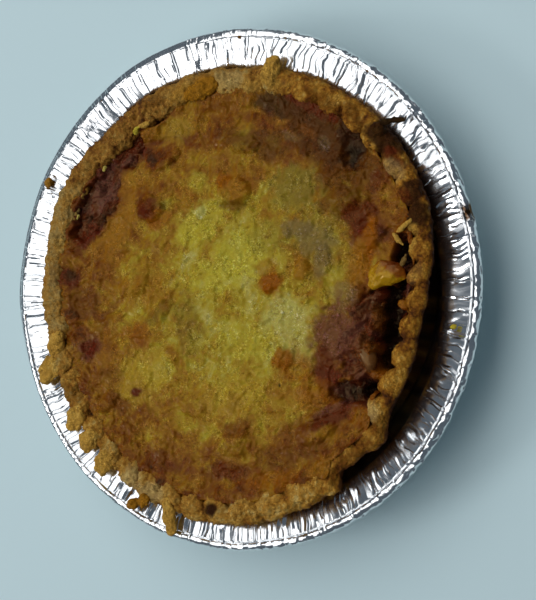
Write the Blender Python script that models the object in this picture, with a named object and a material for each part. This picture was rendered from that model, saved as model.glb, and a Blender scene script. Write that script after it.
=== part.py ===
"""Cheese and chilli pie, baked and still standing in its own foil tin.

Units are metres and +Z is up. The origin is the middle of the tin's underside, so the tin stands on z = 0.
Solids: the foil tin, the pastry case with its crimped rim and the cheese baked onto it, the chilli
filling that runs through the pie, the cheese topping, and the pieces of pepper and bean that stick out.
"""

import math

import bmesh
import bpy
from mathutils import Matrix, Vector, noise

MM = 0.001
GAP = 0.4 * MM  # left between neighbouring solids

# The foil tin
TIN_COLUMNS = 96
PLEAT_COLUMNS = 192
FOIL = 0.45 * MM
PLEAT = 0.35 * MM  # how far a pleat stands off the flange, to either side
ROLL_RADIUS = 5.2 * MM  # of the edge, which is rolled outwards and down
ROLL_CENTRE = (105.8 * MM, 27.0 * MM)  # radius and height
ROLL_TURNS = (90, 40, -10, -60)  # degrees round the roll, from its crest to the cut edge of the foil

# The upper face of the foil, from the flat base to the roll: (radius, height). The wall is steep up to the
# corner, where the pleated flange begins.
BASE_EDGE = (80.0 * MM, FOIL)
HEEL = (83.0 * MM, 1.5 * MM)
HEEL_TOP = (85.0 * MM, 4.0 * MM)
CORNER = (95.5 * MM, 26.8 * MM)
FLANGE_TOP = (103.0 * MM, 31.2 * MM)
TIN_WALL = (BASE_EDGE, HEEL, HEEL_TOP, CORNER, FLANGE_TOP)

# The pastry case
PASTRY_COLUMNS = 80
CRIMP_COLUMNS = 230
CRIMPS = 46
CRIMP_PHASE = 2.0  # azimuth of the middle of one crimp
PASTRY_CLEAR = PLEAT + GAP
PASTRY_FLOOR = FOIL + GAP
PASTRY_BASE = 4.5 * MM  # top of the bottom crust
PASTRY_WALL = 6.0 * MM  # thickness of the side crust
WALL_HEIGHT = 14.0 * MM  # where the side crust has a ring of its own
WALL_SLOPE = 0.42  # how far the side crust leans outwards for each unit of height
LIP_IN = 1.4 * MM  # from the widest part of the rim in to its underside
LIP_HEIGHT = 27.6 * MM
RIM_WIDTH = 12.5 * MM
RIM_CREST = 35.0 * MM
CRIMP_DEPTH = 2.0 * MM
CRIMP_IN = 2.8 * MM
CRIMP_OUT = 1.5 * MM
RIM_WOBBLE = 0.5 * MM
CREST_WOBBLE = 0.6 * MM

# The rim's section: how far each part of it lies inside the widest part, and how far below the crest
UNDERSIDE_IN = 0.6 * MM
UNDERSIDE_LIFT = 1.0 * MM  # above the crease under the lip
EDGE_LIFT = 1.3 * MM  # of the widest part above the underside
SHOULDER_IN = 1.8 * MM
SHOULDER_DROP = 1.6 * MM
CREST_IN = 5.0 * MM
INNER_SHOULDER_IN = 2.4 * MM  # measured from the inside of the rim
INNER_SHOULDER_DROP = 1.2 * MM
INNER_EDGE_DROP = 0.6 * MM  # below the cheese

# Outside radius of the rim: (azimuth in degrees, radius). The pie sits a little off the middle of the tin. It
# has shrunk away from the wall on the right, and a piece has broken off the outside at the lower right.
RIM_OUTSIDE = (
    (0, 90.0 * MM),
    (8, 93.0 * MM),
    (20, 95.6 * MM),
    (45, 96.6 * MM),
    (65, 95.0 * MM),
    (90, 93.6 * MM),
    (128, 93.4 * MM),
    (150, 97.2 * MM),
    (168, 95.8 * MM),
    (195, 94.4 * MM),
    (222, 96.0 * MM),
    (246, 99.6 * MM),
    (272, 99.6 * MM),
    (292, 97.6 * MM),
    (300, 97.4 * MM),
    (304, 91.6 * MM),
    (309, 91.4 * MM),
    (317, 94.4 * MM),
    (325, 88.8 * MM),
    (348, 87.8 * MM),
)
BREAK_AT = 306  # azimuth of the broken piece
BREAK_SPREAD = 14
BREAK_NARROWING = 3.6 * MM
BREAK_SAG = 1.8 * MM

# How deep the crimps are pressed: (azimuth, share). They have crumbled away on the upper left.
CRIMP_STRENGTH = (
    (0, 1.0),
    (40, 0.85),
    (95, 0.35),
    (175, 0.3),
    (200, 0.9),
    (255, 0.85),
    (300, 0.5),
    (330, 1.0),
)

# The cheese topping and the filling below it
CHEESE_COLUMNS = 80
CHEESE_RINGS = 8
UNDER_RINGS = 5
CHEESE_TOP = 31.6 * MM
CHEESE_DEPTH = 3.0 * MM
CHEESE_ROLL = 1.2 * MM  # height of the rounded edge
RIM_FOOT = CHEESE_TOP - CHEESE_DEPTH - 1.0 * MM  # height at which the rim becomes the side crust
CHEESE_MARGIN = 0.9 * MM  # from the pastry to the cheese where the cheese reaches it
FILLING_MARGIN = 1.1 * MM  # from the rim to the top of the bare filling
BARE_FROM = 2.5 * MM  # a gap between cheese and rim as wide as this begins to show the filling's own surface
FILLING_TOP = 30.2 * MM  # where the filling is bare

# Stretches where the cheese stops short and the filling shows: (azimuth, half width in degrees, distance)
BARE_STRETCHES = (
    (140, 24, 12.0 * MM),
    (57, 14, 14.0 * MM),
    (1, 12, 17.0 * MM),
    (338, 15, 31.0 * MM),
    (311, 7, 9.0 * MM),
)
BARE_SOFT = 7.0  # degrees over which the edge of the cheese swings in and out again
RAGGED_SHARE = 0.14  # how ragged the edge of the cheese is there, as a share of the distance

# Waves of the surfaces: (height, size of a wave)
BROAD_WAVE = (0.9 * MM, 34 * MM)
FINE_WAVE = (0.5 * MM, 13 * MM)
FILLING_WAVE = (0.8 * MM, 9 * MM)

# Blisters, and beans pushing up under the cheese: (x, y, reach, height)
CHEESE_LUMPS = (
    (4 * MM, 41 * MM, 11 * MM, 2.4 * MM),
    (-35 * MM, 37 * MM, 13 * MM, 2.4 * MM),
    (20 * MM, 3 * MM, 8 * MM, 1.6 * MM),
    (35 * MM, 8 * MM, 7 * MM, 1.7 * MM),
    (26 * MM, -28 * MM, 11 * MM, 2.0 * MM),
    (32 * MM, 24 * MM, 10 * MM, 1.8 * MM),
    (44 * MM, 12 * MM, 9 * MM, 1.2 * MM),
    (50 * MM, 42 * MM, 12 * MM, 1.5 * MM),
    (-45 * MM, 3 * MM, 12 * MM, 1.3 * MM),
    (-42 * MM, -18 * MM, 13 * MM, 1.4 * MM),
    (-62 * MM, -30 * MM, 14 * MM, 1.2 * MM),
    (-34 * MM, -70 * MM, 12 * MM, 1.3 * MM),
    (4 * MM, -66 * MM, 15 * MM, 1.4 * MM),
    (40 * MM, -60 * MM, 13 * MM, 1.4 * MM),
    (2 * MM, 66 * MM, 14 * MM, 1.5 * MM),
    (-28 * MM, 58 * MM, 10 * MM, 1.5 * MM),
    (-26 * MM, 6 * MM, 14 * MM, -1.1 * MM),
    (10 * MM, 18 * MM, 14 * MM, -0.9 * MM),
    (-16 * MM, -34 * MM, 14 * MM, -0.8 * MM),
)

# Mounds and hollows of the bare filling: (x, y, reach, height)
FILLING_LUMPS = (
    (50 * MM, -20 * MM, 14 * MM, 2.4 * MM),
    (46 * MM, -34 * MM, 9 * MM, 1.6 * MM),
    (62 * MM, -22 * MM, 11 * MM, 1.8 * MM),
    (76 * MM, -12 * MM, 11 * MM, -6.0 * MM),
    (75 * MM, -24 * MM, 8 * MM, -4.5 * MM),
    (60 * MM, -42 * MM, 9 * MM, -5.5 * MM),
    (76 * MM, 12 * MM, 7 * MM, -4.0 * MM),
    (58 * MM, 60 * MM, 11 * MM, -5.0 * MM),
    (32 * MM, 74 * MM, 13 * MM, -1.4 * MM),
    (-66 * MM, 44 * MM, 13 * MM, -1.6 * MM),
    (-34 * MM, 72 * MM, 9 * MM, -2.0 * MM),
)

# The piece of yellow pepper and the bean: middle, length, width, depth and turn about Z in degrees
PEPPER_AT = Vector((68.8 * MM, 3.2 * MM, 31.6 * MM))
PEPPER_SIZE = Vector((17 * MM, 9.5 * MM, 4.8 * MM))
PEPPER_BEND = 3.2 * MM
PEPPER_TURN = 8
BEAN_AT = Vector((63.4 * MM, -29.0 * MM, 31.0 * MM))
BEAN_SIZE = Vector((13.0 * MM, 7.5 * MM, 6.2 * MM))
BEAN_BEND = 1.8 * MM
BEAN_TURN = -58
PIECE_POCKET = 0.5 * MM  # how much wider than a piece the hollow is that it sits in

# Cheese that ran over the rim and baked there: (azimuth, how far outside the rim it ends, width, length,
# thickness)
DRIPS = (
    (75.5, 2.6 * MM, 7.5 * MM, 12.0 * MM, 4.4 * MM),
    (97, -1.2 * MM, 10.0 * MM, 14.0 * MM, 4.6 * MM),
    (195, 1.6 * MM, 10.0 * MM, 13.0 * MM, 4.2 * MM),
    (201, 6.0 * MM, 10.0 * MM, 15.0 * MM, 4.2 * MM),
    (215.5, 3.6 * MM, 9.0 * MM, 13.0 * MM, 4.0 * MM),
    (223, 3.6 * MM, 9.5 * MM, 12.0 * MM, 4.0 * MM),
    (231, 3.2 * MM, 9.0 * MM, 12.0 * MM, 4.0 * MM),
    (243, 5.0 * MM, 10.0 * MM, 11.0 * MM, 3.2 * MM),
    (254.5, 8.2 * MM, 6.5 * MM, 16.0 * MM, 3.4 * MM),
)
DRIP_HEIGHT = 34.6 * MM
DRIP_TILT = 2.0  # degrees down towards the outside

COLOURS = {
    "foil_tin": ((0.78, 0.80, 0.82), 0.28, 1.0),
    "pastry_case": ((0.36, 0.22, 0.085), 0.85, 0.0),
    "chilli_filling": ((0.13, 0.035, 0.015), 0.45, 0.0),
    "cheese_topping": ((0.50, 0.31, 0.06), 0.42, 0.0),
    "pepper_piece": ((0.72, 0.36, 0.02), 0.35, 0.0),
    "bean_piece": ((0.30, 0.11, 0.03), 0.45, 0.0),
}


def clear_scene():
    for item in list(bpy.data.objects):
        bpy.data.objects.remove(item, do_unlink=True)


def falloff(distance, reach):
    """1 at the middle, 0 at the reach and beyond, smooth at both ends."""
    share = min(distance / reach, 1.0)
    return (1.0 - share * share) ** 2


def angle_between(a, b):
    """The difference of two azimuths in degrees, from 0 to 180."""
    return abs((a - b + 180.0) % 360.0 - 180.0)


def stretch(azimuth, middle, half_width):
    """1 within half a width of the middle azimuth, easing to 0 just outside."""
    share = (half_width + BARE_SOFT / 2 - angle_between(azimuth, middle)) / BARE_SOFT
    share = min(max(share, 0.0), 1.0)
    return share * share * (3.0 - 2.0 * share)


def around(points, azimuth):
    """A value read from (azimuth, value) points set round a circle, eased from one point to the next."""
    azimuth = azimuth % 360.0
    ring = list(points) + [(points[0][0] + 360.0, points[0][1])]
    for (a0, v0), (a1, v1) in zip(ring, ring[1:]):
        if a0 <= azimuth <= a1:
            share = (azimuth - a0) / (a1 - a0)
            share = share * share * (3.0 - 2.0 * share)
            return v0 + (v1 - v0) * share
    return points[0][1]


def unevenness(x, y, scale, seed):
    """Smooth noise from -1 to 1 with lumps of the given size."""
    return noise.noise(Vector((x / scale, y / scale, seed)))


def round_unevenness(azimuth, scale, seed):
    """Smooth noise from -1 to 1 round the pie; the scale is a share of its radius."""
    turn = math.radians(azimuth)
    return unevenness(math.cos(turn), math.sin(turn), scale, seed)


def lumps_at(lumps, x, y):
    return sum(height * falloff(math.hypot(x - lx, y - ly), reach) for lx, ly, reach, height in lumps)


def wall_radius(height):
    """Radius of the upper face of the foil at a height."""
    for (r0, z0), (r1, z1) in zip(TIN_WALL, TIN_WALL[1:]):
        if height <= z1:
            return r0 + (r1 - r0) * (height - z0) / (z1 - z0)
    return TIN_WALL[-1][0]


def flange_height(radius):
    """Height of the upper face of the flange at a radius; inside the corner, the height of the corner."""
    share = max((radius - CORNER[0]) / (FLANGE_TOP[0] - CORNER[0]), 0.0)
    return CORNER[1] + (FLANGE_TOP[1] - CORNER[1]) * share


def rim_outside(azimuth):
    """Radius of the outside of the rim, before the crimps."""
    wobble = RIM_WOBBLE * round_unevenness(azimuth, 0.22, 4.0)
    return around(RIM_OUTSIDE, azimuth) + min(wobble, 0.0)


def rim_inside(azimuth):
    """Radius of the inside of the rim at its foot, where the cheese and the filling meet it."""
    width = RIM_WIDTH - BREAK_NARROWING * falloff(angle_between(azimuth, BREAK_AT), BREAK_SPREAD)
    return rim_outside(azimuth) - width


def crimp(azimuth):
    """1 on the back of a crimp, 0 in the groove between two; the crimps are a little uneven."""
    drift = 1.2 * math.sin(math.radians(3 * azimuth)) + 0.7 * math.sin(math.radians(7 * azimuth))
    turn = math.radians((azimuth - CRIMP_PHASE + drift) * CRIMPS / 2.0)
    return abs(math.cos(turn)) ** 0.8


def groove(azimuth):
    """How deep the groove between two crimps is at an azimuth, from 0 to 1."""
    return (1.0 - crimp(azimuth)) * around(CRIMP_STRENGTH, azimuth)


def ring_points(columns, radius, height):
    """Points once round the axis; radius and height are functions of the azimuth in degrees."""
    points = []
    for column in range(columns):
        azimuth = 360.0 * column / columns
        turn = math.radians(azimuth)
        r = radius(azimuth)
        points.append(Vector((r * math.cos(turn), r * math.sin(turn), height(azimuth, r))))
    return points


def loft(name, rings):
    """A closed solid through rings of points, from the middle of its underside up and over to the middle of
    its top. Neighbouring rings may differ in their number of points."""
    bm = bmesh.new()
    loops = []
    for points in rings:
        verts = [bm.verts.new(point) for point in points]
        loops.append([bm.edges.new((a, b)) for a, b in zip(verts, verts[1:] + verts[:1])])
    for lower, upper in zip(loops, loops[1:]):
        bmesh.ops.bridge_loops(bm, edges=lower + upper)
    for loop in (loops[0], loops[-1]):
        close_pole(bm, loop)
    bmesh.ops.triangulate(bm, faces=bm.faces[:])
    bmesh.ops.recalc_face_normals(bm, faces=bm.faces[:])
    mesh = bpy.data.meshes.new(name)
    bm.to_mesh(mesh)
    bm.free()
    return add_object(name, mesh)


def close_pole(bm, loop):
    """Closes a ring with triangles round a point at its middle."""
    faces = bmesh.ops.contextual_create(bm, geom=loop)["faces"]
    bmesh.ops.poke(bm, faces=faces)


def add_object(name, mesh):
    item = bpy.data.objects.new(name, mesh)
    bpy.context.scene.collection.objects.link(item)
    return item


def finish(item, sharp_angle=35):
    """Gives an object its material and smooth shading."""
    colour, roughness, metallic = COLOURS[item.name]
    material = bpy.data.materials.new(item.name)
    material.use_nodes = True
    shader = material.node_tree.nodes["Principled BSDF"]
    shader.inputs["Base Color"].default_value = (*colour, 1.0)
    shader.inputs["Roughness"].default_value = roughness
    shader.inputs["Metallic"].default_value = metallic
    item.data.materials.clear()
    item.data.materials.append(material)
    item.data.shade_smooth()
    item.data.set_sharp_from_angle(angle=math.radians(sharp_angle))


def boolean(item, other, operation):
    """Applies a Boolean of one object on another and removes the second."""
    modifier = item.modifiers.new(operation.title(), "BOOLEAN")
    modifier.operation = operation
    modifier.solver = "EXACT"
    modifier.object = other
    bpy.context.view_layer.update()
    evaluated = item.evaluated_get(bpy.context.evaluated_depsgraph_get())
    mesh = bpy.data.meshes.new_from_object(evaluated)
    item.modifiers.clear()
    item.data = mesh
    bpy.data.objects.remove(other, do_unlink=True)


# The tin


def pleated(point, column, depth):
    """A point of the flange, moved square to its slope to the crest or the bottom of its pleat."""
    side = 1.0 if column % 2 else -1.0
    out = Vector((point.x, point.y, 0.0)).normalized()
    return point + side * depth * (Vector((0.0, 0.0, 0.86)) - out * 0.51)


def tin_ring(place, pleat=0.0):
    """One ring of the tin at a (radius, height)."""
    radius, height = place
    columns = PLEAT_COLUMNS if pleat else TIN_COLUMNS
    points = ring_points(columns, lambda _: radius, lambda _, r: height)
    return [pleated(point, column, pleat) for column, point in enumerate(points)]


def roll_rings(radius, turns):
    """Rings of the rolled edge at a radius of the roll."""
    rings = []
    for turn in turns:
        angle = math.radians(turn)
        out = ROLL_CENTRE[0] + radius * math.cos(angle)
        rings.append(tin_ring((out, ROLL_CENTRE[1] + radius * math.sin(angle))))
    return rings


def make_foil_tin():
    outside = [
        ring_points(TIN_COLUMNS, lambda _: BASE_EDGE[0], lambda _, r: 0.0),
        tin_ring((HEEL[0] + FOIL * 0.6, HEEL[1] - FOIL)),
        tin_ring((HEEL_TOP[0] + FOIL, HEEL_TOP[1] - FOIL * 0.4)),
        tin_ring((CORNER[0] + FOIL * 0.7, CORNER[1] - FOIL * 0.7), PLEAT),
        tin_ring((FLANGE_TOP[0] + FOIL * 0.5, FLANGE_TOP[1] - FOIL * 0.9), PLEAT * 0.6),
    ]
    edge = roll_rings(ROLL_RADIUS - FOIL, ROLL_TURNS) + roll_rings(ROLL_RADIUS, reversed(ROLL_TURNS))
    inside = [
        tin_ring(FLANGE_TOP, PLEAT * 0.6),
        tin_ring(CORNER, PLEAT),
        tin_ring(HEEL_TOP),
        tin_ring(HEEL),
        tin_ring(BASE_EDGE),
    ]
    finish(loft("foil_tin", outside + edge + inside))


# The pastry case


def pastry_outside(height):
    """Radius of the case's outer face at a height below the lip of the rim."""

    def radius(azimuth):
        drawn_in = rim_outside(azimuth) - LIP_IN - WALL_SLOPE * (LIP_HEIGHT - height)
        return min(wall_radius(height) - PASTRY_CLEAR, drawn_in)

    return radius


def lip_radius(azimuth):
    """Radius of the crease under the rim, just inside the corner of the tin."""
    return min(CORNER[0] - PASTRY_CLEAR, rim_outside(azimuth) - LIP_IN)


def lip_height(azimuth, radius):
    """Height of the underside of the rim, which lies on the flange where the rim reaches over it."""
    return max(LIP_HEIGHT + UNDERSIDE_LIFT, flange_height(radius) + PASTRY_CLEAR + GAP)


def edge_height(azimuth, radius):
    """Height of the widest part of the rim."""
    return lip_height(azimuth, radius) + EDGE_LIFT


def crest_height(azimuth, _):
    sag = BREAK_SAG * falloff(angle_between(azimuth, BREAK_AT), BREAK_SPREAD)
    rough = CREST_WOBBLE * round_unevenness(azimuth, 0.12, 9.0)
    return RIM_CREST - CRIMP_DEPTH * groove(azimuth) - sag + rough


def crimped_outside(inset, share):
    return lambda azimuth: rim_outside(azimuth) - inset - CRIMP_OUT * share * groove(azimuth)


def crimped_inside(inset, share):
    return lambda azimuth: rim_inside(azimuth) + inset + CRIMP_IN * share * groove(azimuth)


def flat(height):
    return lambda azimuth, r: height


def below_crest(drop):
    return lambda azimuth, r: crest_height(azimuth, r) - drop


def inner_wall(height, share):
    """Radius of the inside of the case's wall below the rim's foot."""

    def radius(azimuth):
        foot = rim_inside(azimuth)
        lower = pastry_outside(height)(azimuth) - PASTRY_WALL
        return foot + (min(lower, foot) - foot) * share

    return radius


def make_pastry_case():
    rings = [
        ring_points(PASTRY_COLUMNS, pastry_outside(BASE_EDGE[1]), flat(PASTRY_FLOOR)),
        ring_points(PASTRY_COLUMNS, pastry_outside(HEEL_TOP[1]), flat(HEEL_TOP[1] + GAP)),
        ring_points(PASTRY_COLUMNS, pastry_outside(WALL_HEIGHT), flat(WALL_HEIGHT)),
        ring_points(PASTRY_COLUMNS, lip_radius, flat(LIP_HEIGHT)),
        ring_points(CRIMP_COLUMNS, crimped_outside(UNDERSIDE_IN, 0.8), lip_height),
        ring_points(CRIMP_COLUMNS, crimped_outside(0.0, 1.0), edge_height),
        ring_points(CRIMP_COLUMNS, crimped_outside(SHOULDER_IN, 1.0), below_crest(SHOULDER_DROP)),
        ring_points(CRIMP_COLUMNS, crimped_outside(CREST_IN, 0.0), crest_height),
        ring_points(CRIMP_COLUMNS, crimped_inside(INNER_SHOULDER_IN, 0.7), below_crest(INNER_SHOULDER_DROP)),
        ring_points(CRIMP_COLUMNS, crimped_inside(0.0, 1.0), flat(CHEESE_TOP - INNER_EDGE_DROP)),
        ring_points(PASTRY_COLUMNS, crimped_inside(0.0, 0.0), flat(RIM_FOOT)),
        ring_points(PASTRY_COLUMNS, inner_wall(WALL_HEIGHT, 0.5), flat(WALL_HEIGHT)),
        ring_points(PASTRY_COLUMNS, inner_wall(HEEL_TOP[1], 1.0), flat(PASTRY_BASE)),
    ]
    case = loft("pastry_case", rings)
    for azimuth, reach, width, length, thickness in DRIPS:
        boolean(case, make_drip(azimuth, reach, Vector((length, width, thickness))), "UNION")
    finish(case, 50)


def make_drip(azimuth, reach, size):
    """A tongue of cheese lying over the rim: a stretched ball, tilted a little down towards the outside."""
    bm = bmesh.new()
    bmesh.ops.create_icosphere(bm, subdivisions=2, radius=0.5)
    bmesh.ops.scale(bm, verts=bm.verts[:], vec=size)
    bmesh.ops.rotate(bm, verts=bm.verts[:], matrix=Matrix.Rotation(math.radians(DRIP_TILT), 3, "Y"))
    end = rim_outside(azimuth) + reach
    bmesh.ops.translate(bm, verts=bm.verts[:], vec=Vector((end - size.x / 2, 0.0, DRIP_HEIGHT)))
    bmesh.ops.rotate(bm, verts=bm.verts[:], matrix=Matrix.Rotation(math.radians(azimuth), 3, "Z"))
    mesh = bpy.data.meshes.new("drip")
    bm.to_mesh(mesh)
    bm.free()
    return add_object("drip", mesh)


# The cheese and the filling


def cheese_edge(azimuth):
    """Radius of the edge of the cheese."""
    bare = max(depth * stretch(azimuth, middle, half) for middle, half, depth in BARE_STRETCHES)
    ragged = RAGGED_SHARE * bare * round_unevenness(azimuth, 0.16, 2.0)
    return rim_inside(azimuth) - GAP - CHEESE_MARGIN - bare + min(ragged, 0.0)


def wave(size, x, y, seed):
    height, length = size
    return height * unevenness(x, y, length, seed)


def cheese_surface(x, y):
    """Height of the top of the cheese."""
    waves = wave(BROAD_WAVE, x, y, 1.0) + wave(FINE_WAVE, x, y, 6.0)
    return CHEESE_TOP + waves + lumps_at(CHEESE_LUMPS, x, y)


def cheese_underside(x, y):
    """Height of the underside of the cheese, which follows only the broad waves of its top."""
    return CHEESE_TOP - CHEESE_DEPTH + wave(BROAD_WAVE, x, y, 1.0)


def filling_surface(x, y):
    """Height of the filling where it is bare."""
    return FILLING_TOP + wave(FILLING_WAVE, x, y, 3.0) + lumps_at(FILLING_LUMPS, x, y)


def on_surface(surface, offset=0.0):
    """A height function for ring_points that reads a surface over the ring's own points."""

    def height(azimuth, r):
        turn = math.radians(azimuth)
        return surface(r * math.cos(turn), r * math.sin(turn)) + offset

    return height


def cheese_share(share, inset=0.0):
    return lambda azimuth: (cheese_edge(azimuth) - inset) * share


def make_cheese_topping():
    below = [k / UNDER_RINGS for k in range(1, UNDER_RINGS + 1)]
    above = [k / CHEESE_RINGS for k in range(CHEESE_RINGS, 0, -1)]
    rings = []
    for share in below:
        rings.append(ring_points(CHEESE_COLUMNS, cheese_share(share), on_surface(cheese_underside)))
    rings.append(ring_points(CHEESE_COLUMNS, cheese_share(1.0), on_surface(cheese_surface, -CHEESE_ROLL)))
    for share in above:
        roll_share = cheese_share(share, CHEESE_ROLL)
        rings.append(ring_points(CHEESE_COLUMNS, roll_share, on_surface(cheese_surface)))
    finish(loft("cheese_topping", rings), 60)


def bare_ring(share):
    """A ring of the filling between the edge of the cheese and the pastry."""

    def radius(azimuth):
        inner = cheese_edge(azimuth) + GAP
        return inner + (rim_inside(azimuth) - FILLING_MARGIN - inner) * share

    return radius


def make_chilli_filling():
    under_cheese = on_surface(cheese_underside, -GAP)

    def bare_height(azimuth, r):
        width = rim_inside(azimuth) - cheese_edge(azimuth)
        bareness = min(max((width - BARE_FROM) / BARE_FROM, 0.0), 1.0)
        low = under_cheese(azimuth, r)
        return low + (on_surface(filling_surface)(azimuth, r) - low) * bareness

    rings = [
        ring_points(CHEESE_COLUMNS, lambda a: inner_wall(HEEL_TOP[1], 1.0)(a) - GAP, flat(PASTRY_BASE + GAP)),
        ring_points(CHEESE_COLUMNS, lambda a: inner_wall(WALL_HEIGHT, 0.5)(a) - GAP, flat(WALL_HEIGHT)),
        ring_points(CHEESE_COLUMNS, lambda a: rim_inside(a) - GAP, flat(RIM_FOOT)),
        ring_points(CHEESE_COLUMNS, bare_ring(1.0), bare_height),
        ring_points(CHEESE_COLUMNS, bare_ring(0.66), bare_height),
        ring_points(CHEESE_COLUMNS, bare_ring(0.33), bare_height),
        ring_points(CHEESE_COLUMNS, bare_ring(0.10), bare_height),
        ring_points(CHEESE_COLUMNS, bare_ring(0.0), under_cheese),
    ]
    for k in range(UNDER_RINGS - 1, 0, -1):
        rings.append(ring_points(CHEESE_COLUMNS, cheese_share(k / UNDER_RINGS), under_cheese))
    return loft("chilli_filling", rings)


def make_bent_piece(name, size, bend, turn, place, grow=0.0):
    """A rounded piece, longer than wide and bent like a crescent."""
    bm = bmesh.new()
    bmesh.ops.create_uvsphere(bm, u_segments=12, v_segments=8, radius=0.5)
    bmesh.ops.rotate(bm, verts=bm.verts[:], matrix=Matrix.Rotation(math.radians(90), 3, "Y"))
    bmesh.ops.scale(bm, verts=bm.verts[:], vec=size + Vector((grow, grow, grow)) * 2)
    for vert in bm.verts:
        vert.co.y -= bend * (2.0 * vert.co.x / size.x) ** 2
    bmesh.ops.rotate(bm, verts=bm.verts[:], matrix=Matrix.Rotation(math.radians(turn), 3, "Z"))
    bmesh.ops.translate(bm, verts=bm.verts[:], vec=place)
    mesh = bpy.data.meshes.new(name)
    bm.to_mesh(mesh)
    bm.free()
    return add_object(name, mesh)


def make_filling_and_pieces():
    """The filling, hollowed where the pepper and the bean sit in it, and the two pieces."""
    filling = make_chilli_filling()
    pieces = (
        ("pepper_piece", PEPPER_SIZE, PEPPER_BEND, PEPPER_TURN, PEPPER_AT),
        ("bean_piece", BEAN_SIZE, BEAN_BEND, BEAN_TURN, BEAN_AT),
    )
    for name, size, bend, turn, place in pieces:
        boolean(filling, make_bent_piece("pocket", size, bend, turn, place, PIECE_POCKET), "DIFFERENCE")
        finish(make_bent_piece(name, size, bend, turn, place), 60)
    finish(filling, 60)


def main():
    clear_scene()
    make_foil_tin()
    make_pastry_case()
    make_cheese_topping()
    make_filling_and_pieces()


main()
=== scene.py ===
"""Looks of the cheese and chilli pie in its foil tin.

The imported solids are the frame. Each of them is replaced here by a finely modelled piece of much the same
place and size: the thin pleated foil, the crumbly crust, the browned cheese, the moist filling, the pepper
and the bean.
Crumbs and the cheese that baked on outside the rim are pieces of their own.
"""

import math
import random

import bmesh
import bpy
import numpy as np
from mathutils import Matrix, Vector, noise


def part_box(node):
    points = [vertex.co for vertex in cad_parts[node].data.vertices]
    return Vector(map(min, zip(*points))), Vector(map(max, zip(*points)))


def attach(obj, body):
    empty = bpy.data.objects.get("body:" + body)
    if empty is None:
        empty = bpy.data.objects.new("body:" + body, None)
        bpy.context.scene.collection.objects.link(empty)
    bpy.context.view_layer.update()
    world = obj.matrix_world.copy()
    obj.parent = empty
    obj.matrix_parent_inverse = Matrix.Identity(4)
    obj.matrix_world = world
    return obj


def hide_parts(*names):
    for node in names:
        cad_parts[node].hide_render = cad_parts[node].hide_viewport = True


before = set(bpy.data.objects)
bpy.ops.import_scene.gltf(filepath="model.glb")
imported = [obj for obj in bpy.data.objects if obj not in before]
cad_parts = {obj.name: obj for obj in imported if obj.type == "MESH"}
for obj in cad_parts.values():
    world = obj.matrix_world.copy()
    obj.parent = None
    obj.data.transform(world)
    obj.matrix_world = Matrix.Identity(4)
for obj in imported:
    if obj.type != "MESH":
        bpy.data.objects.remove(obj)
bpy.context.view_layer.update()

MM = 0.001
TIN_LOW, TIN_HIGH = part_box("foil_tin")
TIN_RADIUS = (TIN_HIGH[0] - TIN_LOW[0]) / 2 / MM  # from here on, sizes in the functions are in millimetres
EDGE_HEIGHT = TIN_HIGH[2] / MM - 5.2  # height of the tin's outermost edge

# The tin's section, as (radius, height) points
TIN_BASE = ((0.0, 0.3), (40.0, 0.25), (70.0, 0.3), (78.0, 0.3), (80.5, 0.6), (83.0, 1.6), (84.6, 3.4))
TIN_NECK = ((94.2, 23.2), (95.1, 25.6), (96.2, 27.1), (99.0, 28.3), (102.8, 29.3), (106.3, 30.2))
CORNER = (95.5, 26.6)
FLANGE_TOP = (102.6, 30.5)
FLANGE_INSIDE = 95.0
FLANGE_OUTSIDE = 106.4
TIN_ROLL = (
    (106.8, 29.4), (107.3, 30.1), (108.1, 30.7), (109.1, 30.6), (110.0, 30.0), (110.5, 29.2), (110.6, 28.4),
    (109.8, 27.8), (108.4, 27.6),
)
TIN_HEM = (
    (106.9, 30.2), (107.4, 30.4), (108.0, 30.2), (109.0, 29.7), (110.0, 29.2), (110.6, 28.9), (110.75, 28.4),
    (110.2, 27.9), (108.6, 27.6),
)
PLEATS = 300

# The crust; its outside and the strength of its crimps are (azimuth, value) points
RIM_WIDTH = 12.5
RIM_CREST = 35.0
CREASE_HEIGHT = 27.6
CRIMPS = 46  # over the whole round
CRIMP_PHASE = 2.0
RIM_OUTSIDE = (
    (0, 90.0), (8, 93.0), (20, 95.6), (45, 96.6), (65, 95.0), (90, 93.6), (128, 93.4), (150, 97.2),
    (168, 95.8), (195, 94.4), (222, 96.0), (246, 99.6), (272, 99.6), (292, 97.6), (300, 97.4),
    (304, 91.6), (309, 91.4), (317, 94.4), (325, 88.8), (348, 87.8),
)
CRIMP_STRENGTH = (
    (0, 1.0), (40, 0.85), (95, 0.35), (175, 0.3), (200, 0.9), (255, 0.85), (300, 0.5), (330, 1.0),
)

# The cheese and the filling
CHEESE_TOP = 31.6
FILLING_TOP = 30.2
BARE_OVALS = (  # where the cheese has drawn back: x, y, half length, half width, turn
    (67, -24, 24, 14, 78),
    (79, 5, 14, 5, 92),
    (56, -43, 10, 5, 10),
    (-65, 40, 19, 8.5, 58),
    (-50, 61, 15, 6.5, 36),
    (-31, 76, 7, 2.2, 28),
)


# Numbers that vary from place to place


def ease(value, low=0.0, high=1.0):
    """0 below low, 1 above high, smooth between."""
    share = min(max((value - low) / (high - low), 0.0), 1.0)
    return share * share * (3.0 - 2.0 * share)


def falloff(distance, reach):
    """1 at the middle, 0 at the reach and beyond, smooth at both ends."""
    share = min(distance / reach, 1.0)
    return (1.0 - share * share) ** 2


def angle_between(a, b):
    return abs((a - b + 180.0) % 360.0 - 180.0)


def azimuth_of(x, y):
    """The direction of a place round Z, from 0 to 360 degrees."""
    return math.degrees(math.atan2(y, x)) % 360.0


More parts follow.
